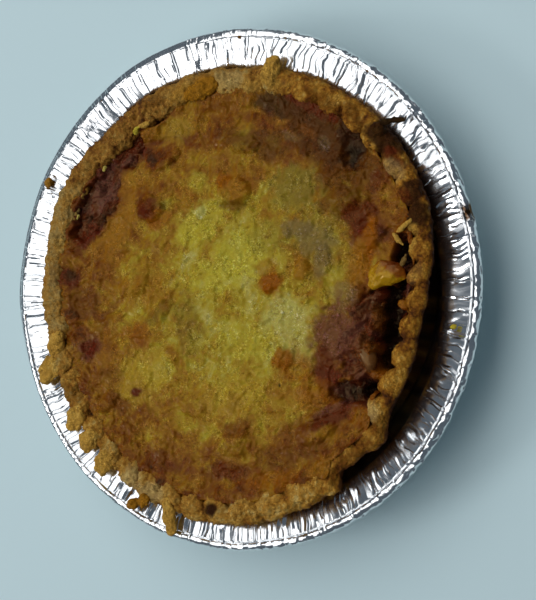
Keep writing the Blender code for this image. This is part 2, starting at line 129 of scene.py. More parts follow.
def at_azimuth(radius, azimuth, height):
    """The place at a radius and a height, in a direction given in degrees."""
    turn = math.radians(azimuth)
    return (radius * math.cos(turn), radius * math.sin(turn), height)


def around(points, azimuth):
    """A value read from (azimuth, value) points set round a circle, eased from one point to the next."""
    azimuth = azimuth % 360.0
    ring = list(points) + [(points[0][0] + 360.0, points[0][1])]
    for (a0, v0), (a1, v1) in zip(ring, ring[1:]):
        if a0 <= azimuth <= a1:
            return v0 + (v1 - v0) * ease((azimuth - a0) / (a1 - a0))
    return points[0][1]


def bumps(x, y, z, scale, seed=0.0):
    """Smooth noise from -1 to 1 with lumps of the given size."""
    return noise.noise(Vector((x / scale + seed, y / scale - seed, z / scale + 2.0 * seed)))


def crags(x, y, z, scale, octaves=4, seed=0.0):
    """Fractal noise: lumps with smaller lumps on them."""
    return noise.fractal(Vector((x / scale + seed, y / scale - seed, z / scale)), 0.9, 2.1, octaves)


def rough_crags(x, y, z, scale, octaves=4, seed=0.0):
    """Fractal noise that stays rough down to its smallest lumps."""
    return noise.fractal(Vector((x / scale + seed, y / scale - seed, z / scale)), 0.5, 2.1, octaves)


def grains(x, y, z, scale, seed=0.0):
    """1 in the middle of a grain, 0 where grains meet."""
    distances = noise.voronoi(Vector((x / scale + seed, y / scale, z / scale)))[0]
    return min((distances[1] - distances[0]) * 1.6, 1.0)


def patches_at(patches, x, y):
    """The sum of round patches (x, y, reach, amount) at a place."""
    return sum(amount * falloff(math.hypot(x - px, y - py), reach) for px, py, reach, amount in patches)


def blend(a, b, share):
    """A colour between two colours."""
    share = min(max(share, 0.0), 1.0)
    return tuple(p + (q - p) * share for p, q in zip(a, b))


def ramp(stops, value):
    """A colour read from (value, colour) stops."""
    for (v0, c0), (v1, c1) in zip(stops, stops[1:]):
        if value <= v1:
            return blend(c0, c1, (value - v0) / (v1 - v0))
    return stops[-1][1]


TINTS = {
    "pale": (0.45, 0.40, 0.09),
    "lemon": (0.46, 0.39, 0.03),
    "golden": (0.42, 0.275, 0.02),
    "olive": (0.21, 0.155, 0.016),
    "grey": (0.19, 0.125, 0.035),
    "tan": (0.50, 0.29, 0.05),
    "flour": (0.44, 0.33, 0.13),
    "ash": (0.14, 0.085, 0.03),
    "plum": (0.13, 0.040, 0.026),
    "amber": (0.29, 0.12, 0.006),
    "orange": (0.25, 0.070, 0.001),
    "rust": (0.15, 0.042, 0.003),
    "brown": (0.10, 0.028, 0.002),
    "cocoa": (0.07, 0.018, 0.002),
    "mauve": (0.15, 0.050, 0.019),
    "crimson": (0.095, 0.011, 0.002),
    "dark": (0.024, 0.006, 0.001),
    "burnt": (0.028, 0.007, 0.002),
    "black": (0.008, 0.003, 0.002),
}


def tinted(colour, tints, x, y):
    """Lays uneven oval stains (x, y, half length, half width, turn, name, strength) over a colour."""
    for tx, ty, length, width, turn, name, strength in tints:
        dx, dy = x - tx, y - ty
        reach = 2.0 * max(length, width)
        if abs(dx) > reach or abs(dy) > reach:
            continue
        cos, sin = math.cos(math.radians(turn)), math.sin(math.radians(turn))
        distance = math.hypot((cos * dx + sin * dy) / length, (cos * dy - sin * dx) / width)
        distance += 0.5 * bumps(x, y, 0.0, 5.0, tx) + 0.3 * bumps(x, y, 0.0, 2.0, ty)
        colour = blend(colour, TINTS[name], strength * (1.0 - ease(distance, 0.65, 1.35)))
    return colour


# Making pieces


def spun(sections):
    """A tube round Z made of sections (rows, columns), with row numbers as heights. Returns the bmesh."""
    bm = bmesh.new()
    start = 0
    edge_loops = []
    for rows, columns in sections:
        verts = [bm.verts.new((1.0, 0.0, start + row)) for row in range(rows)]
        edges = [bm.edges.new(pair) for pair in zip(verts, verts[1:])]
        bmesh.ops.spin(
            bm,
            geom=verts + edges,
            cent=(0, 0, 0),
            axis=(0, 0, 1),
            dvec=(0, 0, 0),
            angle=math.tau,
            steps=columns,
            use_merge=True,
            use_duplicate=False,
        )
        edge_loops.append((start, start + rows - 1))
        start += rows
    for (_, upper), (lower, _) in zip(edge_loops, edge_loops[1:]):
        border = [e for e in bm.edges if e.is_boundary]
        ends = [e for e in border if all(round(v.co.z) in (upper, lower) for v in e.verts)]
        bmesh.ops.bridge_loops(bm, edges=ends)
    return bm


def place_rows(bm, place):
    """Moves each point of a spun tube to place(azimuth, row), which gives x, y and z in millimetres."""
    for vert in bm.verts:
        azimuth = azimuth_of(vert.co.x, vert.co.y)
        vert.co = Vector(place(azimuth, round(vert.co.z))) * MM


def spline_weights(rows, count):
    """Weights that give rows points on a smooth curve through count points."""
    weights = np.zeros((rows, count))
    for row in range(rows):
        place = row / (rows - 1) * (count - 1)
        first = min(int(place), count - 2)
        t = place - first
        basis = (
            -0.5 * t + t * t - 0.5 * t ** 3,
            1.0 - 2.5 * t * t + 1.5 * t ** 3,
            0.5 * t + 2.0 * t * t - 1.5 * t ** 3,
            -0.5 * t * t + 0.5 * t ** 3,
        )
        for offset, weight in zip((-1, 0, 1, 2), basis):
            weights[row, min(max(first + offset, 0), count - 1)] += weight
    return weights


def close_ends(bm):
    """Closes each open end of a piece with triangles round a point at its middle."""
    loops = bmesh.ops.holes_fill(bm, edges=[e for e in bm.edges if e.is_boundary], sides=0)["faces"]
    bmesh.ops.poke(bm, faces=loops)


def roughen(bm, depth, keep=None):
    """Moves each point along its normal by depth(x, y, z) in millimetres."""
    bm.normal_update()
    moves = []
    for vert in bm.verts:
        if keep is None or keep(vert.co):
            x, y, z = vert.co / MM
            moves.append((vert, vert.normal * depth(x, y, z) * MM))
    for vert, move in moves:
        vert.co += move


def make_piece(name, bm, material, colour=None, sharp=None):
    """Turns a bmesh into a finished piece, with a colour for each point where colour(x, y, z) is given."""
    bmesh.ops.recalc_face_normals(bm, faces=bm.faces[:])
    mesh = bpy.data.meshes.new(name)
    bm.to_mesh(mesh)
    bm.free()
    piece = bpy.data.objects.new(name, mesh)
    bpy.context.scene.collection.objects.link(piece)
    mesh.materials.append(material)
    mesh.shade_smooth()
    if sharp:
        mesh.set_sharp_from_angle(angle=math.radians(sharp))
    if colour:
        layer = mesh.attributes.new("surface_colour", "FLOAT_COLOR", "POINT")
        values = []
        for vert in mesh.vertices:
            x, y, z = vert.co / MM
            values.extend((*colour(x, y, z), 1.0))
        layer.data.foreach_set("color", values)
    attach(piece, "root")
    return piece


# Materials


def new_material(name):
    material = bpy.data.materials.new(name)
    material.use_nodes = True
    return material, material.node_tree.nodes, material.node_tree.links


def noise_node(nodes, links, scale, detail=4.0, roughness=0.6):
    """Noise in the object's own space, with lumps about 1 / scale metres apart."""
    place = nodes.new("ShaderNodeTexCoord")
    texture = nodes.new("ShaderNodeTexNoise")
    texture.inputs["Scale"].default_value = scale
    texture.inputs["Detail"].default_value = detail
    texture.inputs["Roughness"].default_value = roughness
    links.new(place.outputs["Object"], texture.inputs["Vector"])
    return texture


def range_node(nodes, links, source, low, high, new_low, new_high):
    """Maps a value from one range to another."""
    mapping = nodes.new("ShaderNodeMapRange")
    links.new(source, mapping.inputs["Value"])
    mapping.inputs["From Min"].default_value = low
    mapping.inputs["From Max"].default_value = high
    mapping.inputs["To Min"].default_value = new_low
    mapping.inputs["To Max"].default_value = new_high
    return mapping.outputs["Result"]


def mixed(nodes, links, factor, first, second, kind="MIX"):
    """Mixes two colours; each may be a socket or a colour."""
    mix = nodes.new("ShaderNodeMix")
    mix.data_type = "RGBA"
    mix.blend_type = kind
    for socket, value in ((mix.inputs[0], factor), (mix.inputs[6], first), (mix.inputs[7], second)):
        if isinstance(value, bpy.types.NodeSocket):
            links.new(value, socket)
        elif isinstance(value, tuple):
            socket.default_value = (*value, 1.0)
        else:
            socket.default_value = value
    return mix.outputs[2]


def product(nodes, links, source, factor):
    """A value that varies, times a number or another such value."""
    times = nodes.new("ShaderNodeMath")
    times.operation = "MULTIPLY"
    links.new(source, times.inputs[0])
    if isinstance(factor, bpy.types.NodeSocket):
        links.new(factor, times.inputs[1])
    else:
        times.inputs[1].default_value = factor
    return times.outputs["Value"]


def grey_of(nodes, links, value):
    """A grey as light as the value."""
    grey = nodes.new("ShaderNodeCombineColor")
    for channel in ("Red", "Green", "Blue"):
        links.new(value, grey.inputs[channel])
    return grey.outputs["Color"]


def point_colour(nodes):
    """The colour that make_piece gave to the points."""
    paint = nodes.new("ShaderNodeAttribute")
    paint.attribute_name = "surface_colour"
    return paint.outputs["Color"]


def food_material(name, look):
    """A food surface: the colour of its points, smooth in some places and in others broken up by fine noise,
    pale flecks that are painted glints (on the crust also flour), dark pits and a fine bump, with patchy
    gloss.
    The looks are at the end of this section."""
    material, nodes, links = new_material(name)
    shader = nodes["Principled BSDF"]
    colour = point_colour(nodes)
    cover = noise_node(nodes, links, look["patch_scale"], 3.0)
    coarse = range_node(nodes, links, cover.outputs["Fac"], 0.42, 0.58, look["smoothest"], 1.0)
    for scale, share, dark, light in look["mottle"]:
        texture = noise_node(nodes, links, scale)
        factor = range_node(nodes, links, texture.outputs["Fac"], 0.3, 0.7, dark, light)
        grey = grey_of(nodes, links, factor)
        colour = mixed(nodes, links, product(nodes, links, coarse, share), colour, grey, "MULTIPLY")
    for scale, low, high, share, tone in look["flecks"]:
        texture = noise_node(nodes, links, scale, 2.0)
        texture.inputs["Distortion"].default_value = 1.2
        spot = range_node(nodes, links, texture.outputs["Fac"], low, high, 0.0, share)
        colour = mixed(nodes, links, product(nodes, links, spot, coarse), colour, tone, "MULTIPLY")
    links.new(colour, shader.inputs["Base Color"])
    gloss = noise_node(nodes, links, look["gloss_scale"])
    low, high = look["roughness"]
    patchy = range_node(nodes, links, gloss.outputs["Fac"], 0.35, 0.65, low, high)
    links.new(patchy, shader.inputs["Roughness"])
    height = None
    for scale, strength, distance in look["bump"]:
        texture = noise_node(nodes, links, scale, 3.0, 0.55)
        bump = nodes.new("ShaderNodeBump")
        links.new(product(nodes, links, coarse, strength), bump.inputs["Strength"])
        bump.inputs["Distance"].default_value = distance * MM
        links.new(texture.outputs["Fac"], bump.inputs["Height"])
        if height:
            links.new(height, bump.inputs["Normal"])
        height = bump.outputs["Normal"]
    links.new(height, shader.inputs["Normal"])
    shader.inputs["Specular IOR Level"].default_value = look["specular"]
    shader.inputs["Specular Tint"].default_value = (1.0, 0.7, 0.32, 1.0)
    shader.inputs["Subsurface Weight"].default_value = look.get("subsurface", 0.0)
    shader.inputs["Subsurface Radius"].default_value = (1.0, 0.5, 0.2)
    shader.inputs["Subsurface Scale"].default_value = look.get("subsurface_depth", 1.0) * MM
    return material


def foil_material():
    """Bright thin aluminium with fine scratches and creases; baked-on stains dull it."""
    material, nodes, links = new_material("bright_foil")
    shader = nodes["Principled BSDF"]
    shader.inputs["Metallic"].default_value = 1.0
    cloud = noise_node(nodes, links, 60.0)
    tone = range_node(nodes, links, cloud.outputs["Fac"], 0.3, 0.7, 0.93, 1.0)
    colour = mixed(nodes, links, 1.0, point_colour(nodes), grey_of(nodes, links, tone), "MULTIPLY")
    links.new(colour, shader.inputs["Base Color"])
    dulled = range_node(nodes, links, cloud.outputs["Fac"], 0.3, 0.7, 0.14, 0.24)
    links.new(dulled, shader.inputs["Roughness"])
    fine = noise_node(nodes, links, 900.0, 3.0)
    bump = nodes.new("ShaderNodeBump")
    bump.inputs["Strength"].default_value = 0.25
    bump.inputs["Distance"].default_value = 0.05 * MM
    links.new(fine.outputs["Fac"], bump.inputs["Height"])
    links.new(bump.outputs["Normal"], shader.inputs["Normal"])
    return material


# How each food looks. Scales are per metre and distances in millimetres. mottle holds (scale, share, darkest,
# lightest), flecks (scale, where they start, where they are full, share, factor on the colour), and bump
# (scale, strength, distance).
# Flecks with a factor above 1 are pale: painted glints, on the crust also flour. Those below 1 darken.
CRUST_LOOK = {
    "patch_scale": 180, "smoothest": 0.5, "gloss_scale": 300, "roughness": (0.55, 0.85), "specular": 0.15,
    "mottle": ((1500, 0.9, 0.45, 1.55), (800, 0.7, 0.6, 1.4), (350, 0.4, 0.65, 1.25)),
    "flecks": ((1100, 0.6, 0.72, 0.8, (2.1, 2.3, 3.0)), (1100, 0.4, 0.28, 0.4, (0.25, 0.2, 0.15))),
    "bump": ((1700, 1.0, 0.5), (800, 0.7, 0.7)),
}
CHEESE_LOOK = {
    "patch_scale": 150, "smoothest": 0.2, "gloss_scale": 250, "roughness": (0.1, 0.28), "specular": 0.16,
    "mottle": ((1400, 0.8, 0.6, 1.4), (700, 0.3, 0.7, 1.3)),
    "flecks": ((800, 0.56, 0.64, 0.8, (1.7, 1.9, 5.0)), (700, 0.42, 0.34, 0.8, (0.5, 0.38, 0.2))),
    "bump": ((1100, 0.7, 0.45), (500, 0.8, 0.8)), "subsurface": 0.4, "subsurface_depth": 0.8,
}
CHILLI_LOOK = {
    "patch_scale": 150, "smoothest": 0.3, "gloss_scale": 400, "roughness": (0.1, 0.26), "specular": 0.3,
    "mottle": ((1400, 0.8, 0.5, 1.5), (700, 0.6, 0.5, 1.4)),
    "flecks": ((950, 0.6, 0.72, 0.7, (2.4, 2.6, 3.0)), (700, 0.4, 0.3, 0.8, (0.2, 0.2, 0.2))),
    "bump": ((1400, 1.0, 0.6), (600, 0.9, 1.0)), "subsurface": 0.3, "subsurface_depth": 1.0,
}
VEGETABLE_LOOK = {
    "patch_scale": 200, "smoothest": 0.4, "gloss_scale": 300, "roughness": (0.16, 0.34), "specular": 0.5,
    "mottle": ((900, 0.6, 0.6, 1.4),),
    "flecks": ((700, 0.6, 0.72, 0.5, (1.5, 1.6, 1.8)), (500, 0.4, 0.3, 0.7, (0.4, 0.2, 0.15))),
    "bump": ((900, 0.6, 0.4),), "subsurface": 0.15, "subsurface_depth": 2.0,
}


# The foil tin

FOIL_COLOUR = (0.88, 0.89, 0.90)
FOIL_STAIN = (0.10, 0.05, 0.02)
STAIN_PLACE = (106.0, 26.5)
STAIN_REACH = 5.5
FOIL_THICKNESS = 0.2
FOIL_SHARP_ANGLE = 24
WALL_BEND = (84.0, 94.0)  # over these radii the wall goes over to the flange's shifted inner edge
SHIFTED_WIDTH = 10.0  # how much of the flange's width takes up that shift
ROLL_MIDDLE = (108.8, 28.7)
DENT_CIRCLE = (106, 104)
# The rest are (azimuth, value) points: how high, wide and winding the folds are, how far the flange's inner
# edge is shifted and dropped, how rough the foil is, and where the edge is pressed flat
FOLD_HEIGHT = (
    (0, 0.55), (40, 0.6), (75, 0.5), (100, 0.6), (150, 0.9), (200, 1.0), (260, 0.9), (300, 0.8), (330, 0.8),
)
FOLD_WIDTH = (
    (0, 0.7), (40, 1.0), (75, 0.8), (100, 0.6), (190, 0.65), (215, 0.7), (270, 0.85), (330, 0.9),
)
FOLD_WAVE = ((0, 1.6), (40, 2.2), (75, 1.8), (100, 0.8), (190, 0.7), (270, 0.9), (330, 1.4))
CORNER_SHIFT = (
    (0, -3.0), (20, -3.4), (35, -4.2), (50, -4.4), (65, -3.6), (80, -2.4), (95, -1.2), (120, 0.0),
    (285, 0.0), (305, -0.6), (336, -1.0), (350, -2.2),
)
CORNER_DROP = (
    (0, 2.2), (18, 1.6), (38, -0.2), (75, -0.8), (95, 0.0), (265, 0.0), (285, 1.0), (300, 2.4), (318, 2.4),
    (345, 2.3),
)
CRINKLE = (
    (0, 0.10), (30, 0.3), (80, 0.26), (110, 0.2), (150, 0.45), (225, 0.45), (245, 0.25), (290, 0.1),
    (330, 0.12),
)
CRUMPLE = (
    (0, 0.7), (30, 1.0), (60, 0.9), (85, 0.4), (110, 0.08), (190, 0.08), (215, 0.2), (260, 0.4), (290, 0.9),
    (340, 1.0),
)
HEM_SHARE = ((60, 0.0), (85, 0.7), (105, 1.0), (180, 1.0), (200, 0.2), (230, 0.0))
WALL_ROWS = 10
FLANGE_ROWS = 14
ROLL_ROWS = 18


def along_curve(points, rows):
    """Rows points spread over a smooth curve through the given (radius, height) points."""
    return [tuple(p) for p in spline_weights(rows, len(points)) @ np.array(points)]


def tin_profile():
    """The upper face of the foil: base and wall, then the flange with a round edge and with a flat edge."""
    low, high = TIN_BASE[-1], TIN_NECK[0]
    wall = []
    for row in range(1, WALL_ROWS + 1):
        share = row / (WALL_ROWS + 1)
        wall.append((low[0] + (high[0] - low[0]) * share, low[1] + (high[1] - low[1]) * share))
    flange = along_curve(TIN_NECK, FLANGE_ROWS)
    rolled, flat = (flange + along_curve(edge, ROLL_ROWS) for edge in (TIN_ROLL, TIN_HEM))
    return list(TIN_BASE[1:]) + wall, rolled, flat


def pleat_plan():
    """For each pleat: its azimuth, its fold's width, height and lean, and where the fold starts and stops."""
    rng = random.Random(7)
    plan = []
    for pleat in range(PLEATS):
        azimuth = 360.0 * (pleat + rng.uniform(-0.3, 0.3)) / PLEATS
        plan.append(
            {
                "azimuth": azimuth,
                "width": rng.uniform(0.6, 1.3) * around(FOLD_WIDTH, azimuth),
                "height": rng.choice((-1, 0, 1, 1, 1))
                * rng.uniform(0.35, 1.3)
                * around(FOLD_HEIGHT, azimuth),
                "lean": rng.uniform(-0.4, 0.4),
                "sag": rng.uniform(-0.7, 0.35) * around(FOLD_HEIGHT, azimuth),
                "start": rng.choice((-0.1, 0.0, 0.15, 0.4)),
                "stop": rng.choice((0.5, 0.7, 0.9, 1.1, 1.2)),
            }
        )
    return plan


def fold_strength(fold, along):
    """How far a fold stands out at a place along the flange, 0 at its inner edge and 1 at the rolled edge."""
    start, stop = fold["start"], fold["stop"]
    return ease(along, start, start + 0.25) * (1.0 - 0.85 * ease(along, stop - 0.1, stop + 0.25))


def make_foil_tin(material):
    lower, upper, flat_edged = tin_profile()
    columns = 4 * PLEATS
    plan = pleat_plan()
    bm = spun(((len(lower), PLEATS), (len(upper), columns)))

    def place(azimuth, row):
        turn = math.radians(azimuth)
        if row < len(lower):
            radius, height = lower[row]
            bend = ease(radius, *WALL_BEND)
            height -= around(CORNER_DROP, azimuth) * bend
            radius += around(CORNER_SHIFT, azimuth) * bend
            rippled = bumps(50 * math.cos(turn), 50 * math.sin(turn), height, 3.0)
            radius += 0.3 * ease(radius, 84.0, 92.0) * rippled
            return at_azimuth(radius, azimuth, height)
        flatness = around(HEM_SHARE, azimuth)
        radius, height = (
            a + (b - a) * flatness for a, b in zip(upper[row - len(lower)], flat_edged[row - len(lower)])
        )
        inner = max(0.0, min((FLANGE_OUTSIDE - radius) / SHIFTED_WIDTH, 1.0))
        height -= around(CORNER_DROP, azimuth) * inner
        radius += around(CORNER_SHIFT, azimuth) * inner
        pleat, part = divmod(round(azimuth / 360.0 * columns) % columns, 4)
        here, after = plan[pleat], plan[(pleat + 1) % PLEATS]
        along = (radius - FLANGE_INSIDE) / (FLANGE_OUTSIDE - FLANGE_INSIDE)
        facing = (0.0, 1.0)
        if row - len(lower) > FLANGE_ROWS + 1:
            facing = (radius - ROLL_MIDDLE[0], height - ROLL_MIDDLE[1])
            along = 1.5
        across = min(radius, FLANGE_OUTSIDE) - FLANGE_INSIDE
        snake = noise.noise(Vector((pleat * 0.37, across / 4.5, 7.0))) * around(FOLD_WAVE, azimuth)
        if part < 3:
            shift = (part - 1) * here["width"] / 2 + (here["lean"] * here["width"] if part == 1 else 0.0)
            azimuth = here["azimuth"] + math.degrees((shift + snake) / radius)
            lift = here["height"] * fold_strength(here, along) if part == 1 else 0.0
        else:
            gap = (after["azimuth"] - here["azimuth"]) % 360.0
            azimuth = here["azimuth"] + gap / 2 + math.degrees(snake / radius)
            lift = here["sag"] * fold_strength(here, along)
        turn = math.radians(azimuth)
        circle_x, circle_y = DENT_CIRCLE[0] * math.cos(turn), DENT_CIRCLE[1] * math.sin(turn)
        rough = around(CRUMPLE, azimuth)
        on_roll = ease(along, 0.95, 1.25)
        dent = rough * on_roll * (
            0.5 * bumps(circle_x, circle_y, 0.6 * row, 3.0, 5.0)
            + 0.4 * bumps(circle_x, circle_y, 0.5 * row, 1.2, 9.0)
        )
        crinkle = around(CRINKLE, azimuth) * bumps(0.9 * (4 * pleat + part), across, 3.0, 1.7, 4.0)
        crinkle *= 1.0 - on_roll
        warp = 0.5 * bumps(circle_x, circle_y, 0.0, 30.0, 2.0)
        size = math.hypot(*facing)
        radius += warp - 0.35 * lift * (1.0 - on_roll) + dent * facing[0] / size
        height += 0.9 * lift + crinkle + dent * facing[1] / size + 0.4 * warp
        return at_azimuth(min(radius, TIN_RADIUS), azimuth, height)

    place_rows(bm, place)
    inner_edge = [e for e in bm.edges if e.is_boundary and e.verts[0].co.z < 5 * MM]
    base = bmesh.ops.holes_fill(bm, edges=inner_edge, sides=0)["faces"]
    bmesh.ops.poke(bm, faces=base)

    def colour(x, y, z):
        away = math.hypot(x - STAIN_PLACE[0], y - STAIN_PLACE[1])
        stain = falloff(away, STAIN_REACH) * ease(crags(x, y, z, 3.0, 3) + 0.5)
        return blend(FOIL_COLOUR, FOIL_STAIN, 2.0 * stain)

    piece = make_piece("pleated_foil", bm, material, colour, FOIL_SHARP_ANGLE)
    wall = piece.modifiers.new("foil_thickness", "SOLIDIFY")
    wall.thickness = FOIL_THICKNESS * MM
    wall.offset = -1.0
    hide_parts("foil_tin")
    return piece


# The crust

CRUST_STOPS = (
    (0.0, (0.58, 0.40, 0.12)),
    (0.22, (0.48, 0.26, 0.045)),
    (0.45, (0.37, 0.17, 0.019)),
    (0.65, (0.24, 0.090, 0.009)),
    (0.85, (0.11, 0.033, 0.006)),
    (1.0, (0.035, 0.012, 0.006)),
)
SANDY = (0.19, 0.11, 0.034)
SANDINESS = (
    (0, 0.0), (65, 0.1), (85, 0.7), (120, 0.9), (185, 0.8), (215, 0.4), (240, 0.45), (270, 0.45),
    (295, 0.2), (330, 0.0),
)
CRUST_TINTS = (
    (86, 27, 6, 5, 0, "burnt", 0.95),
    (85, 36, 5, 4.5, 0, "burnt", 0.9),
    (80, 33, 5, 3, 60, "crimson", 0.6),
    (73, 57, 9, 6, -40, "burnt", 0.95),
    (77, 49, 5, 3, -60, "crimson", 0.8),
    (60, 69, 5, 3, -40, "brown", 0.7),
    (84, 17, 5, 3, 80, "tan", 0.5),
    (66, 62, 6, 3, -20, "burnt", 0.3),
    (47, 75, 9, 3, -30, "brown", 0.6),
    (22, 79, 7, 4, -10, "brown", 0.3),
    (70, 42, 5, 4, 30, "rust", 0.7),
    (-33, 83, 5, 3, 10, "brown", 0.6),
    (-20, 83, 6, 4, 30, "amber", 0.6),
    (-9, 86, 8, 5, 25, "amber", 0.75),
    (-86, 8, 4, 6, 0, "brown", 0.4),
    (-85, -20, 5, 5, 0, "amber", 0.6),
    (-80, -44, 7, 4, -20, "brown", 0.5),
    (-8, -93, 4, 2.5, 0, "burnt", 1.0),
    (-80, 20, 5, 7, 20, "tan", 0.3),
    (0, 84, 26, 4, 0, "tan", 0.35),
    (62, -66, 6, 5, 40, "brown", 0.5),
    (68, -57, 4, 5, 40, "brown", 0.5),
    (54, -74, 8, 4, 40, "brown", 0.6),
    (83, 4, 5, 5, 0, "flour", 0.1),
    (76, 44, 5, 5, 0, "flour", 0.3),
    (62, -52, 6, 5, 30, "flour", 0.4),
    (-48, -82, 6, 5, 30, "flour", 0.5),
    (-37, -87, 6, 5, 30, "flour", 0.5),
    (3, 88, 9, 4, 0, "flour", 0.4),
)
# Painted shade on the crust's outer wall, by azimuth: the side away from the light is darkened low down.
PAINTED_SHADE_ON_WALL = ((0, 1.0), (30, 0.6), (60, 0.0), (280, 0.0), (300, 0.8))
BAKE = (
    (0, 0.58), (60, 0.46), (85, 0.28), (105, 0.3), (120, 0.62), (140, 0.55), (155, 0.14), (190, 0.16),
    (215, 0.4), (235, 0.32), (275, 0.3), (300, 0.38), (325, 0.42),
)
CRAGGINESS = ((0, 0.4), (40, 0.6), (90, 0.8), (300, 0.9), (325, 0.45))
OUTWARD_CUT = ((0, 0.3), (60, 0.5), (195, 1.2), (215, 2.8), (258, 2.4), (275, 1.2), (320, 0.4))
CRUST_COLUMNS = 1200
FOOT_COLUMNS = 240
RIM_ROWS = 66
RIM_POINTS = 11
ROUGH_ABOVE = 27.2
BREAK = (306, 14)  # the broken place in the rim, as azimuth and half width in degrees
NARROW_PLACE = (348, 44)
CRUST_OUTSIDE = ((78.6, 0.9), (83.0, 3.0), (85.6, 6.5), (88.0, 12.0), (90.6, 18.0), (93.0, 23.5))
CRUST_INSIDE = ((80.0, 16.0), (77.0, 9.0), (74.0, 5.0))


def stretch(azimuth, place):
    """1 in the middle of a stretch of the rim (azimuth, half width), 0 outside it."""
    return falloff(angle_between(azimuth, place[0]), place[1])


def rim_outside(azimuth):
    turn = math.radians(azimuth)
    wobble = noise.noise(Vector((4.5 * math.cos(turn), 4.5 * math.sin(turn), 4.0)))
    return around(RIM_OUTSIDE, azimuth) + min(0.8 * wobble, 0.0)


def rim_inside(azimuth):
    thinner = 3.6 * stretch(azimuth, BREAK) + 3.2 * stretch(azimuth, NARROW_PLACE)
    return rim_outside(azimuth) - RIM_WIDTH + thinner


def groove(azimuth, inward):
    """How deep the groove between two crimps is, from 0 to 1; the grooves run slantwise over the rim."""
    drift = 1.2 * math.sin(math.radians(3 * azimuth)) + 0.7 * math.sin(math.radians(7 * azimuth))
    phase = (azimuth - CRIMP_PHASE + drift + 0.14 * (inward - 9.0)) * CRIMPS / 360.0 + 0.5
    back = abs(math.sin(math.pi * phase)) ** 0.45
    step = 0.2 * (phase - math.floor(phase))
    return (1.0 - back + step) * around(CRIMP_STRENGTH, azimuth)


def flange_height(radius):
    share = max((radius - CORNER[0]) / (FLANGE_TOP[0] - CORNER[0]), 0.0)
    return CORNER[1] + (FLANGE_TOP[1] - CORNER[1]) * share


def rim_section(azimuth):
    """The rim's section as (radius, height) points, from the crease under it to its inner foot."""
    outside, inside = rim_outside(azimuth), rim_inside(azimuth)
    sag = 1.8 * stretch(azimuth, BREAK)
    turn = math.radians(azimuth)
    crest = RIM_CREST - sag + 0.7 * bumps(9 * math.cos(turn), 9 * math.sin(turn), 0.0, 1.4, 9.0)
    crease = CREASE_HEIGHT - 0.3 * around(CORNER_SHIFT, azimuth)
    lip = max(crease + 1.0, flange_height(outside) + 0.9)
    return np.array(
        (
            (min(outside - 1.4, CORNER[0] - 0.8 + 0.6 * around(CORNER_SHIFT, azimuth)), crease),
            (outside - 0.7, lip),
            (outside, lip + 1.4),
            (outside - 0.5, (lip + crest) / 2 + 0.8),
            (outside - 2.4, crest - 0.7),
            (outside - 5.6, crest),
            (inside + 3.2, crest - 0.5),
            (inside + 0.9, crest - 1.9),
            (inside, 30.8),
            (inside + 1.2, 27.0),
            (inside + 0.4, 22.0),
        )
    )


def make_crust(material):
    weights = spline_weights(RIM_ROWS, RIM_POINTS)
    sections = [weights @ rim_section(360.0 * column / CRUST_COLUMNS) for column in range(CRUST_COLUMNS)]
    first, last = len(CRUST_OUTSIDE), len(CRUST_OUTSIDE) + RIM_ROWS
    bm = spun(((first, FOOT_COLUMNS), (RIM_ROWS, CRUST_COLUMNS), (len(CRUST_INSIDE), FOOT_COLUMNS)))

    def place(azimuth, row):
        if row < first:
            radius, height = CRUST_OUTSIDE[row]
            radius += around(CORNER_SHIFT, azimuth) * ease(radius, 83.0, 93.0)
            radius = min(radius, rim_outside(azimuth) - 1.6 - 0.42 * (CREASE_HEIGHT - height))
            return at_azimuth(radius, azimuth, height)
        if row >= last:
            radius, height = CRUST_INSIDE[row - last]
            return at_azimuth(min(radius, rim_inside(azimuth) - 1.0), azimuth, height)
        step = row - first
        radius, height = sections[round(azimuth / 360.0 * CRUST_COLUMNS) % CRUST_COLUMNS][step]
        inward = rim_outside(azimuth) - radius
        cut = groove(azimuth, inward)
        over = step / (RIM_ROWS - 1)
        top = ease(over, 0.18, 0.5) * (1.0 - ease(over, 0.75, 0.9))
        outer_side = ease(over, 0.08, 0.2) * (1.0 - ease(over, 0.35, 0.5))
        inner_side = ease(over, 0.42, 0.68) * (1.0 - ease(over, 0.85, 0.98))
        height -= 2.6 * cut * top * (0.25 + 0.75 * ease(inward, 3.0, 9.0))
        radius += -around(OUTWARD_CUT, azimuth) * cut * outer_side + 4.0 * cut * inner_side
        return at_azimuth(radius, azimuth, height)

    place_rows(bm, place)
    close_ends(bm)

    def depth(x, y, z):
        azimuth = azimuth_of(x, y)
        sandy = around(SANDINESS, azimuth)
        broad = (around(CRAGGINESS, azimuth) + 0.4 * sandy) * rough_crags(x, y, z, 6.0, 4, 1.0)
        crumbs = (0.45 + 0.4 * sandy) * (grains(x, y, z, 2.4, 4.0) - 0.5)
        return broad + crumbs + (0.22 + 0.1 * sandy) * rough_crags(x, y, z, 1.2, 2, 8.0)

    roughen(bm, depth, lambda co: co.z > ROUGH_ABOVE * MM)

    def colour(x, y, z):
        azimuth = azimuth_of(x, y)
        inward = rim_outside(azimuth) - math.hypot(x, y)
        toast = around(BAKE, azimuth) + 0.34 * rough_crags(x, y, z, 6.0, 5, 3.0)
        # Painted shade: darker where the grains meet, in the grooves between the crimps and low down in the
        # tin; painted light: a little lighter on the crest.
        toast -= 0.3 * (grains(x, y, z, 2.4, 4.0) - 0.5)
        toast += 0.25 * groove(azimuth, inward) - 0.08 * ease(z, 32.5, 35.5) + 0.22 * ease(-z, -30.5, -27.5)
        # Painted shade: the outer wall darker low down on the right-hand side.
        toast += 0.5 * around(PAINTED_SHADE_ON_WALL, azimuth) * ease(-z, -33.0, -29.5) * ease(-inward, -3.0, -0.5)
        tone = blend(ramp(CRUST_STOPS, toast), SANDY, around(SANDINESS, azimuth) * 0.75 * (1.0 - toast))
        return tinted(tone, CRUST_TINTS, x, y)

    piece = make_piece("crimped_crust", bm, material, colour)
    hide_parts("pastry_case")
    return piece


# The cheese

